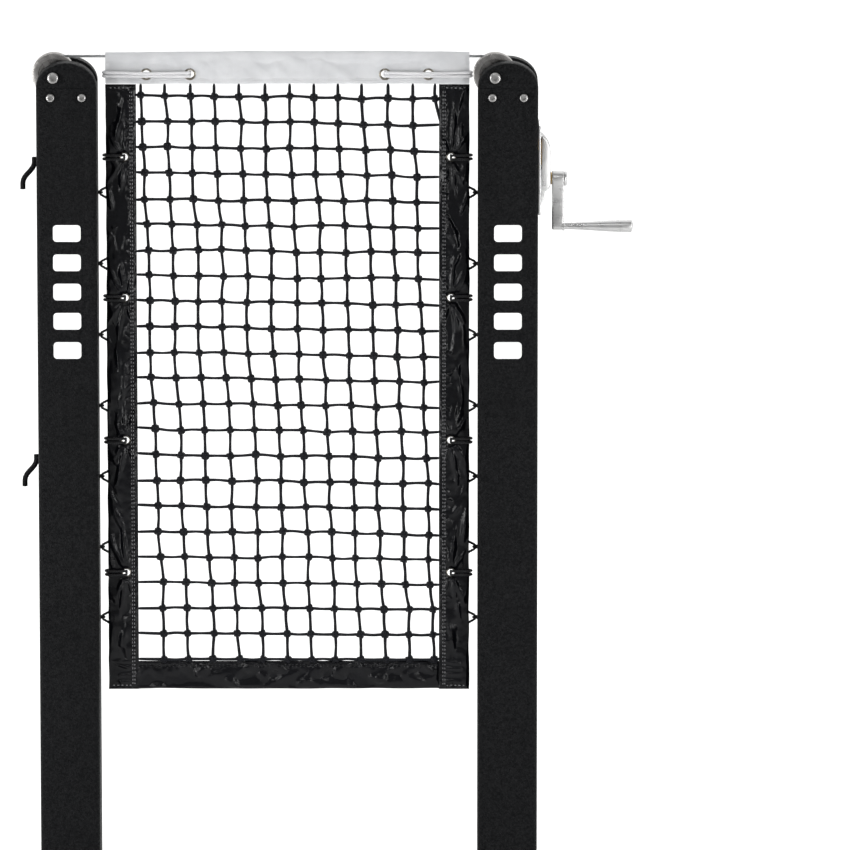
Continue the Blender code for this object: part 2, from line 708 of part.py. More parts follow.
def lug_shapes(x):
    """Lugs that carry the drum's shaft at both ends, and a bracket for the worm shaft's inner end."""
    back = POST_WIDTH / 2 + GAP + PLATE_THICKNESS / 2
    lug = list(arc((WHEEL_X, WHEEL_Z), (LUG_RADIUS, LUG_RADIUS), math.pi / 2, 3 * math.pi / 2, 10))
    lug += [(back, WHEEL_Z - LUG_RADIUS), (back, WHEEL_Z + LUG_RADIUS)]
    for sign in (-1, 1):
        y = sign * (LUG_INNER + LUG_OUTER) / 2
        yield outline("shaft_lug", [lug], LUG_OUTER - LUG_INNER, "XZ", (x, y, 0))
    floor, step, top = WORM_Z - BRACKET_FLOOR, WORM_Z - BRACKET_STEP, WORM_Z + BRACKET_TOP
    inner = WORM_CORE_START - CUT / 2
    profile = [
        (WORM_SHAFT_START, floor),
        (back, floor),
        (back, step),
        (inner, step),
        (inner, top),
        (WORM_SHAFT_START, top),
    ]
    yield outline("worm_bracket", [profile], BRACKET_DEPTH, "XZ", (x, WORM_Y, 0))


def housing_cutters(x):
    """What is cut out of the housing: window, cavities, bores and screw holes."""
    plate_back = POST_WIDTH / 2
    window_low = (x + plate_back - CUT, WINDOW_FRONT, WINDOW_BOTTOM)
    yield box("window", window_low, (plate_face() + 1.2 * CUT, WINDOW_BACK, WINDOW_TOP))
    start, end = (x + WHEEL_X, CAVITY_FRONT, WHEEL_Z), (x + WHEEL_X, CAVITY_BACK, WHEEL_Z)
    yield cylinder("wheel_cavity", "Y", start, end, CAVITY_RADIUS, 32)
    worm_start = (x + plate_back - 3 * CUT, WORM_Y, WORM_Z)
    wall = WHEEL_X + BULGE_RADIUS - BULGE_WALL
    yield cylinder("worm_cavity", "X", worm_start, (x + wall, WORM_Y, WORM_Z), WORM_CAVITY_RADIUS)
    bush_start, bush_end = (x + wall - CUT, WORM_Y, WORM_Z), (x + wall + 3 * CUT, WORM_Y, WORM_Z)
    yield cylinder("bush_bore", "X", bush_start, bush_end, WORM_BUSH_RADIUS + GAP)
    reach = Vector((0, LUG_OUTER + CUT, 0))
    shaft = Vector((x + WHEEL_X, 0, WHEEL_Z))
    yield cylinder("shaft_bore", "Y", shaft - reach, shaft + reach, SHAFT_BORE)
    inner_start = (x + WORM_SHAFT_START - CUT, WORM_Y, WORM_Z)
    inner_end = (x + WORM_CORE_START + CUT, WORM_Y, WORM_Z)
    yield cylinder("worm_inner_bore", "X", inner_start, inner_end, SHAFT_BORE)
    face = plate_face()
    sink = SCREW_HEAD_RADIUS + GAP - SCREW_HOLE
    for y, z in plate_screw_places():
        start = (face - PLATE_THICKNESS - CUT, y, z)
        yield cylinder("screw_hole", "X", start, (face + CUT, y, z), SCREW_HOLE)
        start, wide = (face - sink, y, z), SCREW_HOLE + sink + CUT
        yield cylinder("screw_sink", "X", start, (face + CUT, y, z), SCREW_HOLE, end_radius=wide)


def build_housing():
    """The cast winder housing: plate, wheel cover, rib, lugs and bracket, cut for the works."""
    x = post_x("right")
    plate_loop = rounded_rectangle(PLATE_WIDTH, PLATE_HEIGHT, PLATE_CORNER)
    centre = (plate_face() - PLATE_THICKNESS / 2, 0, PLATE_Z)
    housing = outline("winder_housing", [plate_loop], PLATE_THICKNESS, "YZ", centre, "polished", 0.001)
    combine(housing, "UNION", *bulge_shape(x), *lug_shapes(x))
    combine(housing, "DIFFERENCE", *housing_cutters(x))
    places = enumerate(plate_screw_places(), 1)
    screws = [plate_screw(number, (plate_face(), y, z)) for number, (y, z) in places]
    return [housing, *screws]


def wheel_outline():
    """The worm wheel's toothed edge, with a gap between teeth at its lowest point."""
    pitch_angle = math.tau / WHEEL_TEETH
    root, tip = WHEEL_PITCH_RADIUS - TOOTH_ROOT_DEPTH, WHEEL_PITCH_RADIUS + TOOTH_HEIGHT
    root_half, tip_half = TOOTH_ROOT_HALF_WIDTH / root, TOOTH_TIP_HALF_WIDTH / tip
    points = []
    for tooth in range(WHEEL_TEETH):
        middle = -math.pi / 2 + (tooth + 0.5) * pitch_angle
        for radius, angle in (
            (root, middle - root_half),
            (tip, middle - tip_half),
            (tip, middle + tip_half),
            (root, middle + root_half),
        ):
            points.append((radius * math.cos(angle), radius * math.sin(angle)))
    return points


def build_drum():
    """The cable drum and the worm wheel, which turn together on the drum shaft."""
    axis = Vector((post_x("right") + WHEEL_X, 0, WHEEL_Z))
    hub_end = LUG_INNER - GAP
    drum_profile = [
        (DRUM_CORE_RADIUS, DRUM_RIM_FRONT - GAP),
        (DRUM_CORE_RADIUS, DRUM_FLANGE_BACK),
        (DRUM_FLANGE_RADIUS, DRUM_FLANGE_BACK),
        (DRUM_FLANGE_RADIUS, DRUM_FLANGE_FRONT),
        (HUB_RADIUS, DRUM_FLANGE_FRONT),
        (HUB_RADIUS, -hub_end),
        (SHAFT_BORE, -hub_end),
        (SHAFT_BORE, DRUM_RIM_FRONT - GAP),
    ]
    drum = turned("cable_drum", drum_profile, "Y", axis, "brass", ring=True)
    wheel_profile = [
        (HUB_RADIUS, hub_end),
        (HUB_RADIUS, WHEEL_BACK - CUT),
        (DRUM_RIM_RADIUS, WHEEL_BACK - CUT),
        (DRUM_RIM_RADIUS, DRUM_RIM_FRONT),
        (SHAFT_BORE, DRUM_RIM_FRONT),
        (SHAFT_BORE, hub_end),
    ]
    wheel = turned("worm_wheel", wheel_profile, "Y", axis, "bronze", ring=True)
    inner = DRUM_RIM_RADIUS - 2 * CUT
    inner_loop = list(arc((0, 0), (inner, inner), 0, math.tau, ROUND_STEPS))[:-1]
    middle = axis + Vector((0, (WHEEL_FRONT + WHEEL_BACK) / 2, 0))
    helix_rate = 1 / (WHEEL_TEETH * WORM_THREAD_RADIUS)
    teeth = outline(
        "wheel_teeth", [wheel_outline(), inner_loop], WHEEL_BACK - WHEEL_FRONT, "XZ", middle, twist=helix_rate
    )
    combine(wheel, "UNION", teeth)
    attach(add_pivot("drum_pivot", axis), drum, wheel)
    ends = [(SHAFT_RADIUS, LUG_OUTER + GAP), (SHAFT_RADIUS, -LUG_OUTER - GAP)]
    return turned("drum_shaft", ends, "Y", axis, "stainless", BOLT_STEPS)


def thread_path(x):
    """A right-hand helix whose turns lie in the wheel's gaps."""
    pitch = math.tau * WHEEL_PITCH_RADIUS / WHEEL_TEETH
    steps = round((WORM_THREAD_END - WORM_THREAD_START) / pitch * WORM_TURN_STEPS)
    for step in range(steps + 1):
        along = WORM_THREAD_START + step * pitch / WORM_TURN_STEPS
        angle = math.pi / 2 + math.tau * (along - WHEEL_X) / pitch
        y = WORM_Y + WORM_THREAD_RADIUS * math.cos(angle)
        z = WORM_Z + WORM_THREAD_RADIUS * math.sin(angle)
        yield x + along, y, z


def build_worm_shaft():
    """The worm with its shaft, which the crank turns."""
    x = post_x("right")
    profile = [
        (SHAFT_RADIUS, WORM_SHAFT_END),
        (SHAFT_RADIUS, WORM_CORE_END),
        (WORM_CORE_RADIUS, WORM_CORE_END),
        (WORM_CORE_RADIUS, WORM_CORE_START),
        (SHAFT_RADIUS, WORM_CORE_START),
        (SHAFT_RADIUS, WORM_SHAFT_START),
    ]
    worm = turned("worm_shaft", profile, "X", (x, WORM_Y, WORM_Z), "stainless", BOLT_STEPS)
    thread = rod("worm_thread", list(thread_path(x)), WORM_THREAD_SECTION, resolution=0)
    return combine(worm, "UNION", thread)


def crank_arm_outline():
    """The arm seen from outside: a round hub that tapers down to the grip's end."""
    points = list(arc((0, 0), (CRANK_HUB_RADIUS, CRANK_HUB_RADIUS), 0, math.pi, 12))
    steps = 7
    sides = []
    for step in range(1, steps + 1):
        share = step / steps
        extra = (CRANK_HUB_RADIUS - CRANK_ARM_HALF_WIDTH) * (1 - share) ** 3
        sides.append((CRANK_ARM_HALF_WIDTH + extra, -CRANK_THROW * share))
    points += [(-half_width, z) for half_width, z in sides]
    end_radii = (CRANK_ARM_HALF_WIDTH, CRANK_ARM_HALF_WIDTH)
    points += list(arc((0, -CRANK_THROW), end_radii, math.pi, math.tau, 8))[1:-1]
    points += reversed(sides)
    return points


def grip_profile():
    """The grip's outline from its rounded outer end to its neck."""
    dome = GRIP_END_RADIUS * 0.35
    end = arc((0, 0), (dome, GRIP_END_RADIUS), GRIP_END_START, math.pi / 2, 4)
    profile = [(radius, GRIP_LENGTH - dome + height) for height, radius in end]
    steps = 8
    for step in range(1, steps + 1):
        share = 1 - step / steps
        growth = (GRIP_END_RADIUS - GRIP_NECK_RADIUS) * share**2 * (3 - 2 * share)
        profile.append((GRIP_NECK_RADIUS + growth, (GRIP_LENGTH - dome) * share))
    return profile + [(GRIP_NECK_RADIUS, -2 * CRANK_EDGE)]


def build_crank():
    """The worm shaft, the crank handle on its end and the screw that holds it, all turning together."""
    x = post_x("right")
    middle = (x + CRANK_START + CRANK_WIDTH / 2, WORM_Y, WORM_Z)
    handle = outline("crank_handle", [crank_arm_outline()], CRANK_WIDTH, "YZ", middle, "polished", CRANK_EDGE)
    face = x + CRANK_START + CRANK_WIDTH
    grip = turned("crank_grip", grip_profile(), "X", (face, WORM_Y, WORM_Z - CRANK_THROW), None, BOLT_STEPS)
    start, end = (x + CRANK_START - CUT, WORM_Y, WORM_Z), (face + CUT, WORM_Y, WORM_Z)
    combine(handle, "UNION", grip)
    combine(handle, "DIFFERENCE", cylinder("crank_bore", "X", start, end, SHAFT_BORE))
    head = CRANK_SCREW_HEAD_RADIUS
    shank_end = WORM_SHAFT_END + GAP - CRANK_START - CRANK_WIDTH - GAP
    profile = [
        (head * 0.85, CRANK_SCREW_HEAD_HEIGHT),
        (head, CRANK_SCREW_HEAD_HEIGHT * 0.7),
        (head, 0),
        (CRANK_SCREW_SHANK_RADIUS, 0),
        (CRANK_SCREW_SHANK_RADIUS, shank_end),
    ]
    seat = Vector((face + GAP, WORM_Y, WORM_Z))
    screw = turned("crank_screw", profile, "X", seat, "polished", ROUND_STEPS)
    slot_low = seat + Vector((CRANK_SCREW_HEAD_HEIGHT * 0.7, -2 * head, -CUT / 2))
    slot_high = seat + Vector((CRANK_SCREW_HEAD_HEIGHT + CUT, 2 * head, CUT / 2))
    combine(screw, "DIFFERENCE", box("crank_screw_slot", slot_low, slot_high))
    pivot = add_pivot("crank_pivot", Vector((x + POST_WIDTH / 2, WORM_Y, WORM_Z)))
    attach(pivot, build_worm_shaft(), handle, screw)


def build_worm_bush():
    """The flanged bush that the worm shaft turns in."""
    profile = [
        (WORM_BUSH_FLANGE_RADIUS, WORM_BUSH_FLANGE_END),
        (WORM_BUSH_FLANGE_RADIUS, WHEEL_X + BULGE_RADIUS + GAP),
        (WORM_BUSH_RADIUS, WHEEL_X + BULGE_RADIUS + GAP),
        (WORM_BUSH_RADIUS, WORM_BUSH_START),
        (SHAFT_BORE, WORM_BUSH_START),
        (SHAFT_BORE, WORM_BUSH_FLANGE_END),
    ]
    centre = (post_x("right"), WORM_Y, WORM_Z)
    return turned("worm_bush", profile, "X", centre, "bronze", BOLT_STEPS, ring=True)


# ---- Net ----


def build_cable():
    """The net cable, over both sheaves and down to the drum."""
    radii = (CABLE_PITCH_RADIUS, CABLE_PITCH_RADIUS)
    left, right = axle_centre("left"), axle_centre("right")
    path = list(arc((left.x, left.z), radii, math.radians(150), math.pi / 2, 6))
    path += arc((right.x, right.z), radii, math.pi / 2, 0, 8)
    end_x, end_y, end_z = CABLE_END
    points = [(x, 0, z) for x, z in path] + [(post_x("right") + end_x, end_y, end_z)]
    return rod("net_cable", points, CABLE_RADIUS, "steel_cable")


def build_headband():
    """The headband folded over the cable, with two eyelets at each end."""
    sheet = BAND_SHEET
    top_radii = (BAND_HALF_WIDTH, BAND_TOP - CABLE_Z)
    inner_radii = (BAND_HALF_WIDTH - sheet, BAND_TOP - CABLE_Z - sheet)
    foot, inner_foot = BAND_FOOT_HALF_WIDTH, BAND_FOOT_HALF_WIDTH - sheet
    outer_top = arc((0, CABLE_Z), top_radii, 0, math.pi, 6)
    inner_top = arc((0, CABLE_Z), inner_radii, math.pi, 0, 6)
    fold = [(foot, BAND_BOTTOM), *outer_top, (-foot, BAND_BOTTOM)]
    fold += [(-inner_foot, BAND_BOTTOM), *inner_top, (inner_foot, BAND_BOTTOM)]
    band = outline("headband", [fold], 2 * BAND_HALF_LENGTH, "YZ", (0, 0, 0), "white_vinyl")
    eyelets = []
    for side, sign in SIDES.items():
        for place, distance in zip(("inner", "outer"), BAND_EYELETS_X):
            centre = Vector((sign * distance, 0, BAND_EYELET_Z))
            reach = Vector((0, BAND_HALF_WIDTH + CUT, 0))
            hole = cylinder("eyelet_hole", "Y", centre - reach, centre + reach, BAND_EYELET_HOLE)
            combine(band, "DIFFERENCE", hole)
            eyelets.append(build_eyelet(f"{side}_{place}_eyelet", centre))
    return [band, *eyelets]


def build_eyelet(name, centre):
    """A metal eyelet with a flange on each face of the headband."""
    lip, seat = BAND_EYELET_LIP, BAND_EYELET_SEAT
    barrel = BAND_EYELET_HOLE - GAP
    profile = [
        (BAND_EYELET_RADIUS, lip),
        (BAND_EYELET_RADIUS, seat),
        (barrel, seat),
        (barrel, -seat),
        (BAND_EYELET_RADIUS, -seat),
        (BAND_EYELET_RADIUS, -lip),
        (BAND_EYELET_BORE, -lip),
        (BAND_EYELET_BORE, lip),
    ]
    return turned(name, profile, "Y", centre, "nickel", BOLT_STEPS, ring=True)


def build_side_band(side):
    """The vinyl strip along one end of the net, with four lacing holes."""
    width = SIDE_BAND_OUTER - SIDE_BAND_INNER
    height = SIDE_BAND_TOP - BANDS_BOTTOM
    x = SIDES[side] * (SIDE_BAND_INNER + SIDE_BAND_OUTER) / 2
    centre = (x, 0, BANDS_BOTTOM + height / 2)
    loop = rounded_rectangle(width, height, BANDS_EDGE, 2)
    band = outline(f"{side}_side_band", [loop], BANDS_THICKNESS, "XZ", centre, "black_vinyl")
    for z in EYELETS_Z:
        hole_x = SIDES[side] * EYELET_X
        start, end = (hole_x, -BANDS_THICKNESS, z), (hole_x, BANDS_THICKNESS, z)
        combine(band, "DIFFERENCE", cylinder("lacing_hole", "Y", start, end, EYELET_HOLE))
    return band


def build_bottom_band():
    """The vinyl strip along the foot of the net."""
    height = BOTTOM_BAND_TOP - BANDS_BOTTOM
    loop = rounded_rectangle(2 * BOTTOM_BAND_HALF_LENGTH, height, BANDS_EDGE, 2)
    centre = (0, 0, BANDS_BOTTOM + height / 2)
    return outline("bottom_band", [loop], BANDS_THICKNESS, "XZ", centre, "black_vinyl")


def build_net_mesh():
    """The space that the knotted mesh fills, as one thin slab."""
    low = (-NET_HALF_WIDTH, -NET_THICKNESS / 2, NET_BOTTOM)
    return box("net_mesh", low, (NET_HALF_WIDTH, NET_THICKNESS / 2, NET_TOP), "twine")


def build_end_cord(side):
    """A doubled cord: its bight is in the inner eyelet, and both ends pass round the headband's end."""
    inner_x = BAND_EYELETS_X[0]
    end_x = BAND_HALF_LENGTH
    outermost = end_x + CORD_RADIUS + GAP
    tail_x = end_x - 4 * CORD_RADIUS
    strand = [
        (tail_x, CORD_Y),
        (end_x, CORD_Y),
        (outermost, CORD_Y / 2),
        (outermost, -CORD_Y / 2),
        (end_x, -CORD_Y),
        (inner_x, -CORD_Y),
        (inner_x, CORD_Y),
    ]
    sign = SIDES[side]
    path = [(sign * x, y, BAND_EYELET_Z + CORD_STRAND_OFFSET) for x, y in strand]
    path += [(sign * x, y, BAND_EYELET_Z - CORD_STRAND_OFFSET) for x, y in reversed(strand)]
    return rod(f"{side}_end_cord", path, CORD_RADIUS, "white_cord", 1)


def rope_past_eyelet(z):
    """The rope comes round the band's edge, enters a lacing hole and returns just below itself."""
    edge = SIDE_BAND_OUTER
    strand = [
        (ROPE_RUN_X, ROPE_BACK_Y),
        (edge + ROPE_RADIUS / 2, ROPE_BACK_Y),
        (edge + 1.5 * ROPE_RADIUS, 0),
        (edge + ROPE_RADIUS / 2, ROPE_FRONT_Y),
        (EYELET_X, ROPE_FRONT_Y),
        (EYELET_X, 0),
    ]
    yield from ((x, y, z + CORD_STRAND_OFFSET) for x, y in strand)
    yield from ((x, y, z - CORD_STRAND_OFFSET) for x, y in reversed(strand))


def rope_past_eye(z):
    """The rope leaves the band, passes down through a lacing eye on the post and comes back."""
    apex = (POST_SPACING - POST_WIDTH) / 2 - ROPE_RADIUS - 2 * GAP
    near = ROPE_RUN_X + 2 * ROPE_RADIUS
    leave, slant, eye = ROPE_LOOP_HALF_HEIGHTS
    for sign in (1, -1):
        leg = [
            (ROPE_RUN_X, ROPE_BACK_Y, z + sign * leave),
            (near, (ROPE_BACK_Y + LACING_EYE_Y) / 2, z + sign * slant),
            (apex, LACING_EYE_Y, z + sign * eye),
        ]
        yield from leg if sign > 0 else reversed(leg)


def build_lacing_rope(side):
    """The rope that laces one end of the net to the post."""
    eyes = [LACING_EYE_TOP - LACING_EYE_PITCH * number for number in range(LACING_EYES)]
    stops = [(z, rope_past_eyelet) for z in EYELETS_Z] + [(z, rope_past_eye) for z in eyes]
    path = [(ROPE_RUN_X, ROPE_BACK_Y, ROPE_TOP)]
    for z, pass_stop in sorted(stops, key=lambda stop: -stop[0]):
        path += pass_stop(z)
    path.append((ROPE_RUN_X, ROPE_BACK_Y, ROPE_BOTTOM))
    path = [(SIDES[side] * x, y, z) for x, y, z in path]
    return rod(f"{side}_lacing_rope", path, ROPE_RADIUS, "black_rope", 0)


def build_net():
    """Everything that hangs between the posts."""
    pieces = [build_cable(), *build_headband(), build_net_mesh(), build_bottom_band()]
    for side in SIDES:
        pieces += [build_side_band(side), build_end_cord(side), build_lacing_rope(side)]
    attach(add_pivot("net", Vector((0, 0, 0))), *pieces)


def build():
    """The whole set."""
    start_scene()
    build_post("left")
    right_post = build_post("right")
    open_right_tube(right_post[0])
    build_cable_hook("upper")
    build_cable_hook("lower")
    works = [*build_housing(), build_drum(), build_worm_bush()]
    attach(add_pivot("winder", Vector((post_x("right"), 0, PLATE_Z))), *works)
    build_crank()
    build_net()


build()
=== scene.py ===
"""The looks of a tennis net set: two posts, a cable in a white headband, a knotted net and a winder.

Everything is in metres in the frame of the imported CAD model: X along the net, Y to the back, +Z up.
"""

import json
import math
import random

import bmesh
import bpy
import numpy as np
from mathutils import Euler, Matrix, Vector, noise

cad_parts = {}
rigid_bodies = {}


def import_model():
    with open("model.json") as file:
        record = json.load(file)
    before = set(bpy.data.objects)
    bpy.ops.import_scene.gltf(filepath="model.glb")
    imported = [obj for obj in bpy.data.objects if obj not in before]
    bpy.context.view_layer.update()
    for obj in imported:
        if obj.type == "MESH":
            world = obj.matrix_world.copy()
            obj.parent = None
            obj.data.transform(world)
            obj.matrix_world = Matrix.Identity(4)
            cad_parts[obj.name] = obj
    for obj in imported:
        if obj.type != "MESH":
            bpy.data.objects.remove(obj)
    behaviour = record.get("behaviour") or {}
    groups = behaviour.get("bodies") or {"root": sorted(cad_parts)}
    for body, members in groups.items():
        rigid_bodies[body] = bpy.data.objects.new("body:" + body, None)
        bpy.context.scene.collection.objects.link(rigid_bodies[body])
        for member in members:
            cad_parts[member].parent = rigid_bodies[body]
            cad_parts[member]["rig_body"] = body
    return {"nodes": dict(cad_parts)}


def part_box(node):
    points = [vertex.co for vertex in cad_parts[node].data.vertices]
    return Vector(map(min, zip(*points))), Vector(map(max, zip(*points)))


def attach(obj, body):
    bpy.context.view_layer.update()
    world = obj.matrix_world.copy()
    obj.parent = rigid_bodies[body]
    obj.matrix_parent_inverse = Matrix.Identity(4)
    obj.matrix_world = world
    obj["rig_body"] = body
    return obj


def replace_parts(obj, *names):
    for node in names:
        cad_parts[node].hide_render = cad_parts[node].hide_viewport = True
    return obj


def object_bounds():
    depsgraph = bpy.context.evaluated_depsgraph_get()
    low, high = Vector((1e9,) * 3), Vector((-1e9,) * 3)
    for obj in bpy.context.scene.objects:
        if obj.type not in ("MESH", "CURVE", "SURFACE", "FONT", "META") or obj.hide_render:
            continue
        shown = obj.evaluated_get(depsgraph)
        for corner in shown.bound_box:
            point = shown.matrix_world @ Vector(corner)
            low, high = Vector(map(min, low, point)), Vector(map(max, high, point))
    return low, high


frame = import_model()
CAD_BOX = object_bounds()
MILLI = 0.001
SIDES = {"left": -1, "right": 1}


# ---- Materials ----


def shader_nodes(name, colour, roughness, metallic=0.0, specular=0.5):
    """A new material with its Principled shader set, and its node tree."""
    material = bpy.data.materials.new(name)
    material.use_nodes = True
    tree = material.node_tree
    shader = tree.nodes["Principled BSDF"]
    shader.inputs["Base Color"].default_value = (*colour, 1.0)
    shader.inputs["Roughness"].default_value = roughness
    shader.inputs["Metallic"].default_value = metallic
    shader.inputs["Specular IOR Level"].default_value = specular
    material.diffuse_color = (*colour, 1.0)
    return material, tree, shader


def coordinates(tree, source="Object", scale=(1, 1, 1)):
    """Texture coordinates, Object in metres or UV, multiplied along each axis."""
    place = tree.nodes.new("ShaderNodeTexCoord")
    mapping = tree.nodes.new("ShaderNodeMapping")
    mapping.inputs["Scale"].default_value = scale
    tree.links.new(place.outputs[source], mapping.inputs["Vector"])
    return mapping.outputs["Vector"]


def texture(tree, kind, vector, **values):
    """A texture node of a kind, with its inputs set by name."""
    made = tree.nodes.new("ShaderNodeTex" + kind)
    for name, value in values.items():
        made.inputs[name].default_value = value
    tree.links.new(vector, made.inputs["Vector"])
    return made


def noise_value(tree, vector, scale, detail=3.0, distortion=0.0):
    """A noise texture's value."""
    return texture(tree, "Noise", vector, Scale=scale, Detail=detail, Distortion=distortion).outputs["Fac"]


def cell_value(tree, vector, scale):
    """Soft rounded cells, as in grained or hammered surfaces."""
    cells = texture(tree, "Voronoi", vector)
    cells.feature = "SMOOTH_F1"
    cells.inputs["Scale"].default_value = scale
    cells.inputs["Smoothness"].default_value = 0.6
    return cells.outputs["Distance"]


def combined(tree, operation, first, second):
    """Two values joined by one arithmetic step."""
    step = tree.nodes.new("ShaderNodeMath")
    step.operation = operation
    for socket, value in zip(step.inputs, (first, second)):
        if isinstance(value, (int, float)):
            socket.default_value = value
        else:
            tree.links.new(value, socket)
    return step.outputs["Value"]


def woven(tree, vector, scale, distortion):
    """A plain weave: regular ridges across X times ridges across Z."""
    ridges = []
    for direction in ("X", "Z"):
        wave = texture(tree, "Wave", vector, Scale=scale, Distortion=distortion)
        wave.bands_direction = direction
        ridges.append(wave.outputs["Fac"])
    return combined(tree, "MULTIPLY", *ridges)


def spread(tree, value, low, high, start=0.3, end=0.7):
    """A texture's middle range stretched between two numbers."""
    span = tree.nodes.new("ShaderNodeMapRange")
    for socket, number in zip(("From Min", "From Max", "To Min", "To Max"), (start, end, low, high)):
        span.inputs[socket].default_value = number
    tree.links.new(value, span.inputs["Value"])
    return span.outputs["Result"]


def tint(tree, shader, value, dark, light):
    """The base colour, mixed between two by a value."""
    mix = tree.nodes.new("ShaderNodeMix")
    mix.data_type = "RGBA"
    mix.inputs[6].default_value = (*dark, 1.0)
    mix.inputs[7].default_value = (*light, 1.0)
    tree.links.new(value, mix.inputs["Factor"])
    tree.links.new(mix.outputs[2], shader.inputs["Base Color"])


def bump(tree, shader, *layers):
    """Bumps laid over each other, each a (height value, distance in metres, strength)."""
    normal = None
    for height, distance, strength in layers:
        step = tree.nodes.new("ShaderNodeBump")
        step.inputs["Distance"].default_value = distance
        step.inputs["Strength"].default_value = strength
        tree.links.new(height, step.inputs["Height"])
        if normal:
            tree.links.new(normal, step.inputs["Normal"])
        normal = step.outputs["Normal"]
    tree.links.new(normal, shader.inputs["Normal"])


def powder_coat():
    """Black fine-texture powder coat: small soft cells with a finer grain over them."""
    material, tree, shader = shader_nodes("powder_coat", (0.008, 0.0083, 0.009), 0.55, specular=0.06)
    place = coordinates(tree)
    cells = cell_value(tree, place, 430)
    grain = noise_value(tree, place, 1100, 2.0)
    speckle = noise_value(tree, place, 330, 3.0)
    patches = spread(tree, noise_value(tree, place, 9, 4.0), 0.75, 1)
    mottle = combined(tree, "MULTIPLY", spread(tree, speckle, 0, 1, 0.36, 0.66), patches)
    tint(tree, shader, mottle, (0.0022, 0.0024, 0.0028), (0.0095, 0.0097, 0.0103))
    tree.links.new(spread(tree, speckle, 0.62, 0.46), shader.inputs["Roughness"])
    bump(tree, shader, (cells, 0.0016, 0.9), (grain, 0.0004, 0.5))
    return material


def polished_metal(name, light, dark, roughness, grain_scale=(60, 60, 900), strength=0.12):
    """Bright metal with fine polishing lines and faint smears."""
    material, tree, shader = shader_nodes(name, light, roughness, metallic=1.0)
    lines = noise_value(tree, coordinates(tree, "Object", grain_scale), 1.0, 4.0)
    smears = noise_value(tree, coordinates(tree), 45, 5.0, 0.6)
    tint(tree, shader, spread(tree, smears, 0, 1), dark, light)
    smeared = spread(tree, smears, roughness * 0.8, roughness * 1.3)
    rough = combined(tree, "ADD", spread(tree, lines, -0.04, 0.05), smeared)
    tree.links.new(rough, shader.inputs["Roughness"])
    bump(tree, shader, (lines, 0.00005, strength))
    return material


def glossy_vinyl():
    """Glossy black coated cloth: the weave prints faintly through the film."""
    material, tree, shader = shader_nodes("black_vinyl", (0.002, 0.0021, 0.0027), 0.15, specular=0.17)
    place = coordinates(tree)
    weave = woven(tree, place, 190, 1.2)
    creases = noise_value(tree, place, 60, 4.0, 1.2)
    patches = noise_value(tree, place, 30, 4.0)
    tint(tree, shader, spread(tree, patches, 0, 1), (0.0014, 0.0015, 0.0022), (0.0032, 0.0034, 0.0044))
    tree.links.new(spread(tree, creases, 0.08, 0.17), shader.inputs["Roughness"])
    bump(tree, shader, (creases, 0.0010, 0.35), (weave, 0.0002, 0.3))
    return material


def headband_cloth():
    """White coated canvas with a fine weave and a little soiling."""
    material, tree, shader = shader_nodes("white_headband", (0.505, 0.511, 0.522), 0.5, specular=0.3)
    place = coordinates(tree)
    weave = woven(tree, place, 330, 0.8)
    soiling = noise_value(tree, place, 26, 5.0, 0.4)
    tint(tree, shader, spread(tree, soiling, 0, 1), (0.465, 0.471, 0.483), (0.535, 0.540, 0.549))
    tree.links.new(spread(tree, soiling, 0.6, 0.42), shader.inputs["Roughness"])
    creases = noise_value(tree, place, 70, 5.0, 0.8)
    bump(tree, shader, (creases, 0.0010, 0.35), (weave, 0.0003, 0.45))
    return material


def braided(name, dark, light, roughness, pitch, plaits, depth, sheen=0.3, specular=0.35):
    """A braid of crossing plaits, laid out by each line's own UV: metres along and turns round. The grooves
    between the plaits are painted darker as shade.
    """
    material, tree, shader = shader_nodes(name, light, roughness, specular=specular)
    shader.inputs["Sheen Weight"].default_value = sheen
    shader.inputs["Sheen Roughness"].default_value = 0.5
    place = coordinates(tree, "UV", (1 / pitch, plaits, 1))
    parts = tree.nodes.new("ShaderNodeSeparateXYZ")
    tree.links.new(place, parts.inputs["Vector"])
    ridges = []
    for operation in ("ADD", "SUBTRACT"):
        slant = combined(tree, operation, parts.outputs["X"], parts.outputs["Y"])
        ridges.append(combined(tree, "SINE", combined(tree, "MULTIPLY", slant, math.tau), 0))
    height = combined(tree, "MAXIMUM", *ridges)
    fibres = noise_value(tree, coordinates(tree, "UV", (1 / pitch, plaits * 6, 1)), 4.0, 3.0)
    # Painted shade: the grooves between the plaits take the dark colour and the ridges the light one.
    tint(tree, shader, spread(tree, height, 0, 1, -0.4, 1.0), dark, light)
    bump(tree, shader, (height, depth, 0.8), (fibres, depth * 0.4, 0.5))
    return material


def moulded_plastic():
    """Black moulded plastic with a fine spark texture."""
    material, tree, shader = shader_nodes("black_plastic", (0.012, 0.012, 0.012), 0.5, specular=0.25)
    place = coordinates(tree)
    grain = noise_value(tree, place, 900, 3.0)
    tree.links.new(spread(tree, grain, 0.45, 0.6), shader.inputs["Roughness"])
    bump(tree, shader, (grain, 0.0001, 0.5))
    return material


def printed_white():
    """A white print on powder coat, which keeps the coat's grain."""
    material, tree, shader = shader_nodes("white_print", (0.85, 0.85, 0.85), 0.5)
    place = coordinates(tree)
    speckle = noise_value(tree, place, 300, 3.0)
    tint(tree, shader, spread(tree, speckle, 0, 1), (0.80, 0.80, 0.80), (0.88, 0.88, 0.88))
    bump(tree, shader, (cell_value(tree, place, 620), 0.0003, 0.3))
    return material


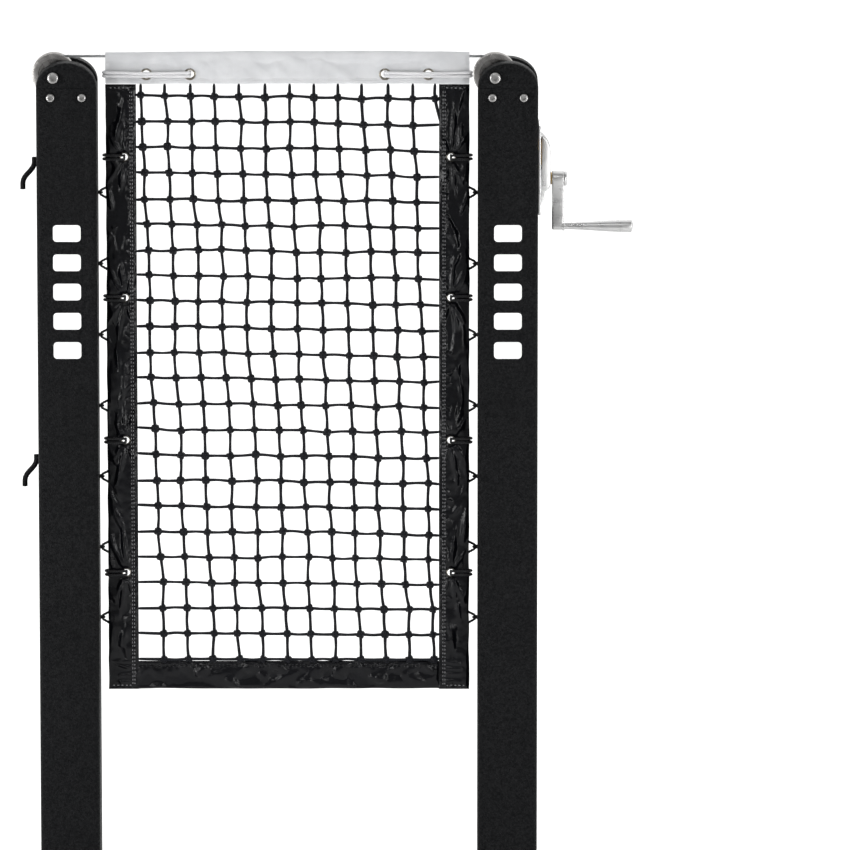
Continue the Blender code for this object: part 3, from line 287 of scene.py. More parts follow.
FINE_GRAIN = (300, 300, 300)
METALS = {
    # name: light and dark colours, roughness, and if need be its grain and the grain's strength
    "polished": ((0.51, 0.51, 0.505), (0.44, 0.44, 0.44), 0.30),
    "sheave_steel": ((0.36, 0.35, 0.34), (0.25, 0.242, 0.235), 0.24),
    "stainless": ((0.40, 0.395, 0.39), (0.28, 0.275, 0.27), 0.27, FINE_GRAIN),
    "brass": ((0.90, 0.68, 0.28), (0.70, 0.48, 0.16), 0.16, (60, 900, 60), 0.25),
    "bronze": ((0.50, 0.35, 0.15), (0.30, 0.20, 0.09), 0.32, (200, 200, 200), 0.3),
    "steel_cable": ((0.44, 0.445, 0.45), (0.22, 0.225, 0.23), 0.42, (500, 500, 500), 0.3),
    "nickel": ((0.30, 0.28, 0.24), (0.17, 0.155, 0.13), 0.24, FINE_GRAIN),
}
LINES = {
    # name: dark colour (painted shade in the braid's grooves) and light colour, roughness, pitch, plaits,
    # depth, and if need be sheen and specular
    "twine": ((0.0010, 0.0012, 0.0021), (0.0050, 0.0056, 0.0088), 0.55, 0.0042, 2, 0.0005, 0.04, 0.13),
    "white_cord": ((0.50, 0.50, 0.51), (0.70, 0.70, 0.71), 0.6, 0.0032, 4, 0.0004),
    "black_rope": ((0.002, 0.002, 0.0025), (0.010, 0.010, 0.011), 0.6, 0.0030, 2, 0.0003, 0.08, 0.18),
    # Painted highlight: the black seam thread is coloured light grey, so its stitches read as glints off the
    # puckers.
    "band_thread_painted_glint": ((0.10, 0.10, 0.105), (0.34, 0.34, 0.35), 0.35, 0.0012, 2, 0.0001, 0.1, 0.5),
}
FINISHES = {
    "powder_coat": powder_coat(),
    "white_vinyl": headband_cloth(),
    "black_vinyl": glossy_vinyl(),
    "black_plastic": moulded_plastic(),
    "white_print": printed_white(),
    **{name: polished_metal(name + "_finish", *look) for name, look in METALS.items()},
    **{name: braided(name + "_finish", *look) for name, look in LINES.items()},
}


# ---- Mesh helpers ----


class Shape:
    """Many small parts gathered for one object, with a UV of (metres along, turns round)."""

    def __init__(self):
        self.points = []
        self.faces = []
        self.uvs = []

    def add(self, points, faces, uvs):
        start = len(self.points)
        self.points += [tuple(point) for point in points]
        self.faces += [tuple(start + corner for corner in face) for face in faces]
        self.uvs += [pair for face in uvs for pair in face]

    def to_piece(self, name, finish, body="frame", slot=None):
        """The gathered shape as a smooth-shaded piece that rides on a body."""
        mesh = bpy.data.meshes.new(name)
        mesh.from_pydata(self.points, [], self.faces)
        layer = mesh.uv_layers.new(name="UVMap")
        layer.data.foreach_set("uv", np.array(self.uvs, np.float32).ravel())
        mesh.update()
        return dress(placed(name, mesh), finish, body, slot)


def placed(name, data):
    """A new object of a mesh, lamp or camera, in the scene."""
    piece = bpy.data.objects.new(name, data)
    bpy.context.scene.collection.objects.link(piece)
    return piece


def from_bmesh(name, bm):
    """A new object of an edit mesh, which is freed."""
    mesh = bpy.data.meshes.new(name)
    bm.to_mesh(mesh)
    bm.free()
    return placed(name, mesh)


def dress(piece, finish, body="frame", slot=None, smooth=math.radians(40)):
    """Gives a piece its material and shading, and its body. The slot argument is not used."""
    piece.data.materials.clear()
    piece.data.materials.append(FINISHES[finish])
    piece.data.shade_smooth()
    if smooth:
        piece.data.set_sharp_from_angle(angle=smooth)
    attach(piece, body)
    slot or finish
    return piece


def smooth_path(points, spacing):
    """A Catmull-Rom curve through points, sampled about every spacing."""
    points = np.array(points, float)
    ends = np.vstack([2 * points[0] - points[1], points, 2 * points[-1] - points[-2]])
    path = []
    for before, start, end, after in zip(ends, ends[1:], ends[2:], ends[3:]):
        steps = max(1, round(np.linalg.norm(end - start) / spacing))
        leave, arrive = (end - before) / 2, (after - start) / 2
        for step in range(steps):
            t = step / steps
            path.append(
                (2 * t**3 - 3 * t**2 + 1) * start
                + (t**3 - 2 * t**2 + t) * leave
                + (3 * t**2 - 2 * t**3) * end
                + (t**3 - t**2) * arrive
            )
    return np.array(path + [points[-1]])


def rounded_path(points, radius, steps=5):
    """A chain of points whose corners are replaced by curves of about this radius."""
    points = [Vector(point) for point in points]
    path = [points[0]]
    for before, corner, after in zip(points, points[1:], points[2:]):
        reach_in = min(radius, (before - corner).length * 0.48)
        reach_out = min(radius, (after - corner).length * 0.48)
        start = corner + (before - corner).normalized() * reach_in
        end = corner + (after - corner).normalized() * reach_out
        for step in range(steps + 1):
            t = step / steps
            path.append((1 - t) ** 2 * start + 2 * t * (1 - t) * corner + t**2 * end)
    return [tuple(point) for point in path + [points[-1]]]


def evenly(points, spacing):
    """A chain of points resampled at even steps."""
    points = np.array(points, float)
    lengths = lengths_along(points)
    marks = np.linspace(0, lengths[-1], max(2, int(lengths[-1] / spacing)))
    return np.stack([np.interp(marks, lengths, points[:, axis]) for axis in range(3)], axis=1)


def lengths_along(path):
    """How far along a path each of its points is."""
    return np.concatenate([[0], np.cumsum(np.linalg.norm(np.diff(path, axis=0), axis=1))])


def path_frames(path):
    """Two directions square to a path at each point, with the least turning, and the length so far."""
    along = np.gradient(path, axis=0)
    along /= np.linalg.norm(along, axis=1, keepdims=True) + 1e-12
    helper = np.array((0.0, 0.0, 1.0)) if abs(along[0][2]) < 0.9 else np.array((1.0, 0.0, 0.0))
    sides = []
    for direction in along:
        helper = helper - direction * helper.dot(direction)
        helper /= np.linalg.norm(helper)
        sides.append(helper)
    sides = np.array(sides)
    return sides, np.cross(along, sides), lengths_along(path)


def add_tube(shape, path, radius, sides=8):
    """A round tube along a path, closed at both ends. The radius may vary from point to point."""
    path = np.array(path, float)
    first, second, lengths = path_frames(path)
    radii = np.broadcast_to(np.asarray(radius, float), (len(path),))
    angles = np.arange(sides) * math.tau / sides
    rings = (
        path[:, None]
        + first[:, None] * (radii[:, None] * np.cos(angles))[..., None]
        + second[:, None] * (radii[:, None] * np.sin(angles))[..., None]
    )
    faces, uvs = [], []
    for ring in range(len(path) - 1):
        near, far = lengths[ring], lengths[ring + 1]
        for side in range(sides):
            after = (side + 1) % sides
            a, b = ring * sides + side, ring * sides + after
            faces.append((a, b, b + sides, a + sides))
            turn, next_turn = side / sides, (side + 1) / sides
            uvs.append(((near, turn), (near, next_turn), (far, next_turn), (far, turn)))
    last = (len(path) - 1) * sides
    faces += [tuple(reversed(range(sides))), tuple(range(last, last + sides))]
    uvs += [((lengths[0], 0),) * sides, ((lengths[-1], 0),) * sides]
    shape.add(rings.reshape(-1, 3), faces, uvs)


def twisted_strands(path, count, offset, pitch):
    """The paths of strands that twist round a middle path."""
    first, second, lengths = path_frames(path)
    for strand in range(count):
        angle = (strand * math.tau / count + lengths * math.tau / pitch)[:, None]
        yield path + offset * (np.cos(angle) * first + np.sin(angle) * second)


def add_lump(shape, centre, radii, turn, rings=7, sides=9):
    """An egg-shaped lump."""
    points = []
    for ring in range(rings + 1):
        polar = math.pi * (0.04 + 0.92 * ring / rings)
        for side in range(sides):
            angle = math.tau * side / sides
            across, deep = math.sin(polar) * math.cos(angle), math.sin(polar) * math.sin(angle)
            point = Vector((radii[0] * across, radii[1] * deep, radii[2] * math.cos(polar)))
            point.rotate(turn)
            points.append(Vector(centre) + point)
    faces, uvs = [], []
    for ring in range(rings):
        for side in range(sides):
            after = (side + 1) % sides
            a, b = ring * sides + side, ring * sides + after
            faces.append((a, a + sides, b + sides, b))
            low, high = ring * MILLI, (ring + 1) * MILLI
            turn_start, turn_end = side / sides, (side + 1) / sides
            uvs.append(((low, turn_start), (high, turn_start), (high, turn_end), (low, turn_end)))
    faces += [tuple(range(sides)), tuple(reversed(range(rings * sides, (rings + 1) * sides)))]
    uvs += [((0, 0),) * sides, ((0, 0),) * sides]
    shape.add(points, faces, uvs)


def mirrored(half):
    """A section's upper half with its mirror image below."""
    return half + [(radius, -height) for radius, height in reversed(half)]


def turned(name, profile, axis, centre, finish, body, steps=64, slot=None):
    """A closed profile of (radius, height) points, down its outer side, turned round an axis."""
    bm = bmesh.new()
    points = [bm.verts.new((radius, 0, height)) for radius, height in profile]
    for point, follower in zip(points, points[1:] + points[:1]):
        bm.edges.new((point, follower))
    piece = from_bmesh(name, bm)
    turns = {"X": (0, math.pi / 2, 0), "Y": (-math.pi / 2, 0, 0)}
    piece.location, piece.rotation_euler = centre, turns[axis]
    screw = piece.modifiers.new("turn", "SCREW")
    screw.steps = steps
    screw.render_steps = steps
    screw.use_merge_vertices = True
    screw.merge_threshold = 0.00001
    applied(piece)
    return dress(piece, finish, body, slot)


def applied(piece):
    """Replaces a piece's mesh by its evaluated mesh and drops the modifiers."""
    bpy.context.view_layer.update()
    evaluated = piece.evaluated_get(bpy.context.evaluated_depsgraph_get())
    mesh = bpy.data.meshes.new_from_object(evaluated)
    piece.modifiers.clear()
    piece.data = mesh
    return piece


def refined(node, finish, bevel):
    """A smooth-shaded copy of a CAD node with eased edges, which stands for it."""
    source = frame["nodes"][node]
    bm = bmesh.new()
    bm.from_mesh(source.data)
    bmesh.ops.remove_doubles(bm, verts=bm.verts, dist=0.00001)
    bmesh.ops.dissolve_limit(bm, angle_limit=math.radians(0.6), verts=bm.verts, edges=bm.edges)
    piece = from_bmesh(node + "_surface", bm)
    if bevel:
        eased(piece, bevel, 2, math.radians(35))
    dress(piece, finish, source["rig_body"], smooth=math.radians(40))
    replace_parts(piece, node)


def eased(piece, width, segments, angle):
    """Rounds a piece's sharp edges."""
    bevel = piece.modifiers.new("ease", "BEVEL")
    bevel.width = width
    bevel.segments = segments
    bevel.limit_method = "ANGLE"
    bevel.angle_limit = angle
    applied(piece)


def middle_of(node):
    """The middle of a CAD node's box."""
    low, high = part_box(node)
    return (low + high) / 2


# ---- The knotted net ----

NET_LOW, NET_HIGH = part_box("net_mesh")
TWINE_RADIUS = 0.0027
TWINE_TAPER = ((0, 0.3), (0.003, 0.78), (0.006, 1))  # distance from the end, share of the thickness
KNOT_RADII = (0.0055, 0.0043, 0.0058)
KNOT_TURN = (0.0056, 0.0038, 0.0016)  # half sizes of a turn of twine round a knot
NET_ROWS = 23
NET_FIRST_ROW = 1.006  # height of the top row
NET_LAST_ROW = 0.055
NET_FIRST_COLUMN = -0.2442  # at the top; one more comes in at the left further down
NET_COLUMN_PITCH = 0.0411
NET_LEAN = 0.036  # how far right the uprights drift on their way down
NET_ROW_FALL = 0.006  # how much lower a row ends at the right
NET_SWAY = 0.0035  # how far the knots wander in slow waves
KNOT_INSET = 0.0055  # knots keep this far from the side bands
EDGE_CATCH = 0.004  # a knot this much nearer is moved in, and one nearer still isn't there
SEAM_REACH = 0.0040  # how far a twine goes into a band


def net_crossing(column, row, jitter):
    """Where an upright and a level twine cross, on an even grid that leans and sways, but not at its foot."""
    share = row / (NET_ROWS - 1)
    freedom = min(1, 4 * (1 - share))
    x = NET_FIRST_COLUMN + NET_COLUMN_PITCH * column + NET_LEAN * share
    fall = NET_ROW_FALL * (x / (NET_HIGH.x - NET_LOW.x)) * freedom
    z = NET_FIRST_ROW + (NET_LAST_ROW - NET_FIRST_ROW) * share - fall
    sway = noise.noise_vector(Vector((x * 6, 3.1, z * 6))) * NET_SWAY
    x += sway.x + jitter.uniform(-0.0020, 0.0020)
    return np.array((x, sway.y * 0.5, z + sway.z * 0.6 + jitter.uniform(-0.0016, 0.0016) * freedom))


def twine_path(stops, jitter, bow):
    """A twine through its knots that bows a little between them, and its thickness.

    It is fullest at the knots and tapers at both ends, where it goes into a seam.
    """
    points, sizes = [stops[0]], [0.95]
    for number, (start, end) in enumerate(zip(stops, stops[1:])):
        if 0 < number < len(stops) - 2:
            aside, deep, up = (jitter.uniform(-bow, bow) for _ in range(3))
            points.append((start + end) / 2 + [aside, deep * 0.4, up])
            sizes.append(jitter.uniform(0.86, 0.99))
        points.append(end)
        sizes.append(1.12)
    sizes[-1] = 0.95
    path = evenly(smooth_path(points, 0.0045), 0.0030)
    lengths, marks = lengths_along(path), lengths_along(np.array(points))
    thickness = np.interp(lengths, marks * lengths[-1] / marks[-1], sizes)
    from_end = np.minimum(lengths, lengths[-1] - lengths)
    return path, thickness * np.interp(from_end, *zip(*TWINE_TAPER))


def add_knot(shape, centre, jitter):
    """A netting knot: a tight lump with two turns of twine drawn slantwise round it."""
    lean = jitter.uniform(-0.35, 0.35)
    size = jitter.uniform(0.92, 1.08)
    turn = Euler((jitter.uniform(-0.3, 0.3), lean, 0))
    add_lump(shape, centre, [size * radius for radius in KNOT_RADII], turn)
    for slant in (-1, 1):
        tilt = Euler((jitter.uniform(-0.25, 0.25), slant * (math.pi / 4) + lean, 0))
        loop = []
        for step in range(13):
            angle = math.tau * step / 12
            wave = (math.cos(angle), math.sin(angle), math.sin(2 * angle))
            point = Vector([half * part for half, part in zip(KNOT_TURN, wave)]) * size
            point.rotate(tilt)
            loop.append(Vector(centre) + point)
        add_tube(shape, loop, 0.0021 * size, 6)


def build_net_twine():
    """The whole mesh of the net: uprights, level twines and their knots."""
    jitter = random.Random(23)
    noise.seed_set(23)  # noise_vector is offset by the clock without it
    columns = range(-1, 13)
    crossings = [[net_crossing(column, row, jitter) for row in range(NET_ROWS)] for column in columns]
    limit = NET_HIGH.x - KNOT_INSET
    reach = limit + EDGE_CATCH
    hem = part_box("headband")[0].z
    shape = Shape()
    for column in crossings:
        shown = [crossing for crossing in column if abs(crossing[0]) < reach]
        for crossing in shown:
            crossing[0] = min(max(crossing[0], -limit), limit)
        if not shown:
            continue
        stops = list(shown)
        if shown[0] is column[0]:
            stops.insert(0, np.array((column[0][0], 0, hem + SEAM_REACH / 2)))
        else:
            stops.insert(0, np.array((NET_LOW.x - SEAM_REACH, 0, shown[0][2] + NET_COLUMN_PITCH)))
        if shown[-1] is column[-1]:
            stops.append(np.array((column[-1][0], 0, NET_LOW.z - SEAM_REACH)))
        else:
            stops.append(np.array((NET_HIGH.x + SEAM_REACH, 0, shown[-1][2] - NET_COLUMN_PITCH)))
        path, sizes = twine_path(stops, jitter, 0.0011)
        add_tube(shape, path, TWINE_RADIUS * jitter.uniform(0.95, 1.05) * sizes)
        for crossing in shown:
            add_knot(shape, crossing, jitter)
    for row in range(NET_ROWS):
        level = [column[row] for column in crossings if abs(column[row][0]) < reach]
        start = np.array((NET_LOW.x - SEAM_REACH, 0, level[0][2] + jitter.uniform(-0.002, 0.002)))
        end = np.array((NET_HIGH.x + SEAM_REACH, 0, level[-1][2] + jitter.uniform(-0.002, 0.002)))
        path, sizes = twine_path([start, *level, end], jitter, 0.0013)
        add_tube(shape, path, TWINE_RADIUS * jitter.uniform(0.86, 0.98) * sizes)
    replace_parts(shape.to_piece("net_twine", "twine"), "net_mesh")


# ---- Cable, cords and ropes ----

CABLE_PITCH_RADIUS = 0.030  # from a sheave's axis to the middle of the cable
CABLE_TWIST = 0.026
CORD_RADIUS = 0.0026
CORD_SAG = 0.0008
ROPE_RADIUS = 0.0023
ROPE_TWIST = 0.013
ROPE_RUN_X = 0.294
ROPE_BACK_Y = 0.007
ROPE_FRONT_Y = -0.0062
ROPE_GAP = 0.0032  # half of the distance between the rope's two passes through an eyelet
LACING_EYE_Y = 0.010
BAND_EYELETS_Z = (0.906, 0.669, 0.428, 0.203)
BAND_EYELET_X = 0.2715


def build_cable():
    """Seven-strand wire rope over both sheaves and down to the drum."""
    low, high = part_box("net_cable")
    left, right = middle_of("left_sheave"), middle_of("right_sheave")
    radius = high.z - left.z - CABLE_PITCH_RADIUS
    points = []
    for sheave, start, end, steps in ((left, 150, 90, 12), (right, 90, 0, 16)):
        for step in range(steps + 1):
            angle = math.radians(start + (end - start) * step / steps)
            across, up = CABLE_PITCH_RADIUS * math.cos(angle), CABLE_PITCH_RADIUS * math.sin(angle)
            points.append((sheave.x + across, 0, sheave.z + up))
    points.append((high.x - radius, low.y + radius, low.z))
    path = evenly(points, 0.0016)
    shape = Shape()
    strand = radius * 0.335
    add_tube(shape, path, strand, 6)
    for line in twisted_strands(path, 6, radius - strand, CABLE_TWIST):
        add_tube(shape, line, strand, 6)
    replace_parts(shape.to_piece("cable_strands", "steel_cable"), "net_cable")


def build_end_cord(side):
    """The doubled white cord from the inner eyelet round the end of the headband."""
    low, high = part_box(f"{side}_end_cord")
    eyelet = middle_of(f"{side}_inner_eyelet")
    near, far = abs(eyelet.x), max(abs(low.x), abs(high.x)) - CORD_RADIUS
    front, back = low.y + CORD_RADIUS, high.y - CORD_RADIUS
    reach = (high.z - low.z) / 2 - CORD_RADIUS
    strand = [
        # distance from the set's middle, depth, share of the reach above the eyelet's middle
        (far - 0.014, back, 1),
        (far - 0.003, back, 1),
        (far, back / 2, 1),
        (far, front / 2, 1),
        (far - 0.003, front, 1),
        (far - 0.006, front, 1),
        (far - 0.014, front, 0.99),
        (far - 0.030, front, 0.96),
        ((far + near) / 2, front, 0.9),
        (near + 0.012, front, 0.95),
        (near + 0.0015, front * 0.75, 0.9),
        (near, 0, 0.9),
        (near, back * 0.85, 0.75),
    ]
    points = [[SIDES[side] * x, y, eyelet.z + reach * share] for x, y, share in strand]
    points[8][2] -= CORD_SAG  # the upper strand hangs a little, half way along the front
    points += [[SIDES[side] * x, y, eyelet.z - reach * share] for x, y, share in reversed(strand)]
    shape = Shape()
    add_tube(shape, smooth_path(points, 0.0022), CORD_RADIUS, 12)
    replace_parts(shape.to_piece(f"{side}_end_cord_braid", "white_cord"), f"{side}_end_cord")


def lacing_stops(side):
    """Every place the rope passes, from the top down: eyelets in the band and eyes on the post."""
    eyes = [("eye", middle_of(f"{side}_lacing_eye_{number}").z) for number in range(1, 8)]
    holes = [("hole", z) for z in BAND_EYELETS_Z]
    return sorted(eyes + holes, key=lambda stop: -stop[1])


def build_lacing_rope(side):
    """A three-strand rope that laces the band's edge to the eyes on the post."""
    low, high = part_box(f"{side}_lacing_rope")
    apex = max(abs(low.x), abs(high.x)) - ROPE_RADIUS
    band_low, band_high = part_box(f"{side}_side_band")
    edge = max(abs(band_low.x), abs(band_high.x))
    points = [(ROPE_RUN_X, ROPE_BACK_Y, high.z - ROPE_RADIUS)]
    for kind, z in lacing_stops(side):
        if kind == "hole":
            strand = [
                (ROPE_RUN_X, ROPE_BACK_Y),
                (edge + ROPE_RADIUS / 2, ROPE_BACK_Y),
                (edge + 1.5 * ROPE_RADIUS, 0),
                (edge + ROPE_RADIUS / 2, ROPE_FRONT_Y),
                (BAND_EYELET_X, ROPE_FRONT_Y),
                (BAND_EYELET_X, 0.001),
            ]
            points += [(x, y, z + ROPE_GAP) for x, y in strand]
            points += [(x, y, z - ROPE_GAP) for x, y in reversed(strand)]
        else:
            bight = [
                (ROPE_RUN_X, ROPE_BACK_Y, 0.018),
                (ROPE_RUN_X + 2 * ROPE_RADIUS, (ROPE_BACK_Y + LACING_EYE_Y) / 2, 0.0105),
                (apex, LACING_EYE_Y, 0.003),
            ]
            points += [(x, y, z + rise) for x, y, rise in bight]
            points += [(x, y, z - rise) for x, y, rise in reversed(bight)]
    points.append((ROPE_RUN_X, ROPE_BACK_Y, low.z + ROPE_RADIUS))
    points = [(SIDES[side] * x, y, z) for x, y, z in points]
    path = evenly(rounded_path(points, 0.0034), 0.0017)
    shape = Shape()
    strand_radius = ROPE_RADIUS * 0.52
    for line in twisted_strands(path, 3, ROPE_RADIUS - strand_radius, ROPE_TWIST):
        add_tube(shape, line, strand_radius, 6)
    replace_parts(shape.to_piece(f"{side}_lacing_rope_strands", "black_rope"), f"{side}_lacing_rope")


# ---- Vinyl bands ----

BAND_CELL = 0.0014
BAND_PUFF_LIMIT = 0.0090  # what the front's distance from the net's plane stays under
BAND_ROPE_LIMIT = 0.0033  # the same where the rope lies on it
BAND_BACK_LIMIT = 0.0038  # the same for the back
BAND_PRESSED = 0.0014  # each layer's distance from the net's plane under an eyelet
SEAM_WIDTH = 0.0012
EYELET_RING_INNER = 0.0058
EYELET_RING_OUTER = 0.0080
SIDE_BAND_EYELET_HOLE = 0.0065
EYELET_CREASES = (
    # degrees from the direction away from the net, length, width, height
    (62, 0.046, 0.0040, 0.0046),
    (86, 0.074, 0.0040, 0.0054),
    (112, 0.056, 0.0040, 0.0048),
    (-60, 0.046, 0.0040, 0.0046),
    (-84, 0.070, 0.0042, 0.0054),
    (-110, 0.056, 0.0040, 0.0048),
    (142, 0.026, 0.0030, 0.0032),
    (180, 0.026, 0.0030, 0.0030),
    (-142, 0.026, 0.0030, 0.0032),
)


def from_start(x, z, start, angle):
    """A grid of places measured along and across a direction from a start."""
    along = (x - start[0]) * math.cos(angle) + (z - start[1]) * math.sin(angle)
    across = -(x - start[0]) * math.sin(angle) + (z - start[1]) * math.cos(angle)
    return along, across


def ridge(x, z, start, angle, length, width, height):
    """A crease: a smooth leaf-shaped puff that leaves a point at an angle."""
    along, across = from_start(x, z, start, angle)
    share = np.clip(along / length, 0, 1)
    taper = np.sin(math.pi * share**0.7)
    half = width * (0.4 + 0.6 * np.sin(math.pi * share**0.8))
    return height * taper * np.exp(-((across / half) ** 2))


def smooth_noise(x, z, scale_x, scale_z, seed):
    """Gentle noise over a grid of places."""
    places = zip(x.ravel() / scale_x, z.ravel() / scale_z)
    return np.array([noise.noise(Vector((a, seed * 7.3, b))) for a, b in places]).reshape(x.shape)


def cells_outside(x, z, holes, radius):
    """Which cells of a grid of places have their middle outside every hole."""
    middle_x, middle_z = (x[1:, 1:] + x[:-1, :-1]) / 2, (z[1:, 1:] + z[:-1, :-1]) / 2
    kept = np.ones(middle_x.shape, bool)
    for hole_x, hole_z in holes:
        kept &= np.hypot(middle_x - hole_x, middle_z - hole_z) > radius
    return kept


def sheet_object(name, points, faces, closed):
    """An object of a grid of points, without those that no face uses."""
    mesh = bpy.data.meshes.new(name)
    mesh.from_pydata(points.tolist(), [], faces)
    bm = bmesh.new()
    bm.from_mesh(mesh)
    bpy.data.meshes.remove(mesh)
    bmesh.ops.delete(bm, geom=[point for point in bm.verts if not point.link_faces], context="VERTS")
    if closed:
        bmesh.ops.recalc_face_normals(bm, faces=bm.faces)
    return from_bmesh(name, bm)


class BandSheet:
    """A flat vinyl strip sewn from two layers: a grid of places and the swell of its front and back."""

    def __init__(self, low, high, seed, holes=()):
        self.low, self.high, self.holes = low, high, holes
        across = max(8, round((high.x - low.x) / BAND_CELL))
        upward = max(8, round((high.z - low.z) / BAND_CELL))
        places = np.linspace(low.x, high.x, across + 1), np.linspace(low.z, high.z, upward + 1)
        self.x, self.z = np.meshgrid(*places, indexing="ij")
        self.random = random.Random(seed)
        self.seed = seed
        for hole_x, hole_z in holes:
            away_x, away_z = self.x - hole_x, self.z - hole_z
            distance = np.hypot(away_x, away_z) + 1e-9
            near = np.abs(distance - SIDE_BAND_EYELET_HOLE) < BAND_CELL * 0.55
            pull = np.where(near, SIDE_BAND_EYELET_HOLE / distance, 1)
            self.x, self.z = hole_x + away_x * pull, hole_z + away_z * pull
        self.edge = np.minimum.reduce([self.x - low.x, high.x - self.x, self.z - low.z, high.z - self.z])
        swell = 1 - np.exp(-self.edge / 0.0030)
        self.front = 0.0008 + 0.0015 * swell
        self.back = 0.0008 + 0.0011 * swell

    def add_noise(self):
        """Slack in both layers, long along the strip and short across it."""
        inside = np.clip(self.edge / 0.006, 0, 1)
        tall = self.high.z - self.low.z > self.high.x - self.low.x
        scales = (0.024, 0.070) if tall else (0.070, 0.024)
        slack = smooth_noise(self.x, self.z, *scales, self.seed)
        crumple = smooth_noise(self.x, self.z, 0.009, 0.011, self.seed + 1)
        other = smooth_noise(self.x, self.z, *scales, self.seed + 2)
        self.front += inside * (0.0048 * slack + 0.0010 * crumple)
        self.back += inside * (0.0024 * other + 0.0006 * crumple)

    def add_seam(self, distance):
        """A sewn line with puckers on both sides of it, by each point's distance from the line."""
        pucker = smooth_noise(self.x, self.z, 0.0045, 0.0045, self.seed + 3)
        pucker *= np.exp(-((distance / (3.2 * SEAM_WIDTH)) ** 2)) * np.clip(self.edge / 0.003, 0, 1)
        for layer in (self.front, self.back):
            layer += 0.0026 * pucker - 0.0009 * np.exp(-((distance / SEAM_WIDTH) ** 2))

    def add_crease(self, start, angle, length, width, height):
        """A crease that swells the front and draws the back in by half as much."""
        inside = np.clip(self.edge / 0.004, 0, 1)
        swell = inside * ridge(self.x, self.z, start, angle, length, width, height)
        self.front += swell
        self.back -= 0.5 * swell

    def flatten_near_holes(self):
        """Presses both layers flat under the eyelets."""
        for hole_x, hole_z in self.holes:
            distance = np.hypot(self.x - hole_x, self.z - hole_z)
            pressed = np.exp(-((np.maximum(distance - EYELET_RING_OUTER, 0) / 0.0025) ** 2))
            self.front = self.front * (1 - pressed) + BAND_PRESSED * pressed
            self.back = self.back * (1 - pressed) + BAND_PRESSED * pressed

    def surfaces(self):
        """Both layers' distances, held clear of the rope, which crosses the front and runs down the back."""
        room = np.full(self.x.shape, BAND_PUFF_LIMIT)
        for hole_x, hole_z in self.holes:
            beside = np.abs(self.x) > abs(hole_x) - EYELET_RING_OUTER
            away = np.where(beside, np.abs(self.z - hole_z), np.hypot(self.x - hole_x, self.z - hole_z))
            room = np.minimum(room, BAND_ROPE_LIMIT + np.maximum(away - 0.0075, 0) * 0.6)
        front, back = np.maximum(self.front, 0.0006), np.maximum(self.back, 0.0006)
        return room * np.tanh(front / room), BAND_BACK_LIMIT * np.tanh(back / BAND_BACK_LIMIT)

    def to_piece(self, name):
        """Both layers as one closed piece, with their holes."""
        front, back = self.surfaces()
        columns, rows = self.x.shape
        layers = [np.stack([self.x, y, self.z], axis=-1).reshape(-1, 3) for y in (-front, back)]
        kept = cells_outside(self.x, self.z, self.holes, SIDE_BAND_EYELET_HOLE)
        layer = columns * rows
        faces = []
        for column, row in zip(*np.nonzero(kept)):
            a, b = column * rows + row, (column + 1) * rows + row
            faces.append((a, b, b + 1, a + 1))
            faces.append((layer + a, layer + a + 1, layer + b + 1, layer + b))
            for other_column, other_row, first, second in (
                (column, row - 1, b, a),
                (column + 1, row, b + 1, b),
                (column, row + 1, a + 1, b + 1),
                (column - 1, row, a, a + 1),
            ):
                outside = not (0 <= other_column < columns - 1 and 0 <= other_row < rows - 1)
                if outside or not kept[other_column, other_row]:
                    faces.append((first, second, layer + second, layer + first))
        piece = sheet_object(name, np.concatenate(layers), faces, closed=True)
        return dress(piece, "black_vinyl", smooth=math.radians(60))


def add_stitch(shape, start, end, surface, dip, rise, radius):
    """A stitch between two (x, z) places that dips into the cloth at both ends and rises off it between."""
    middle = ((start[0] + end[0]) / 2, surface - rise, (start[1] + end[1]) / 2)
    path = [(start[0], surface + dip, start[1]), middle, (end[0], surface + dip, end[1])]
    add_tube(shape, smooth_path(path, 0.0009), radius, 5)


def add_stitches(shape, sheet, line):
    """A row of thread stitches that follows the front of a strip; line is a list of (x, z)."""
    marks = evenly([(x, 0, z) for x, z in line], 0.0032)
    front = sheet.surfaces()[0]
    for start, end in zip(marks[::2], marks[1::2]):
        middle = (start + end) / 2
        nearest = np.argmin((sheet.x - middle[0]) ** 2 + (sheet.z - middle[2]) ** 2)
        start, end = start + (middle - start) * 0.15, end + (middle - end) * 0.15
        add_stitch(shape, start[::2], end[::2], -front.ravel()[nearest], 0.0004, 0.0004, 0.00052)


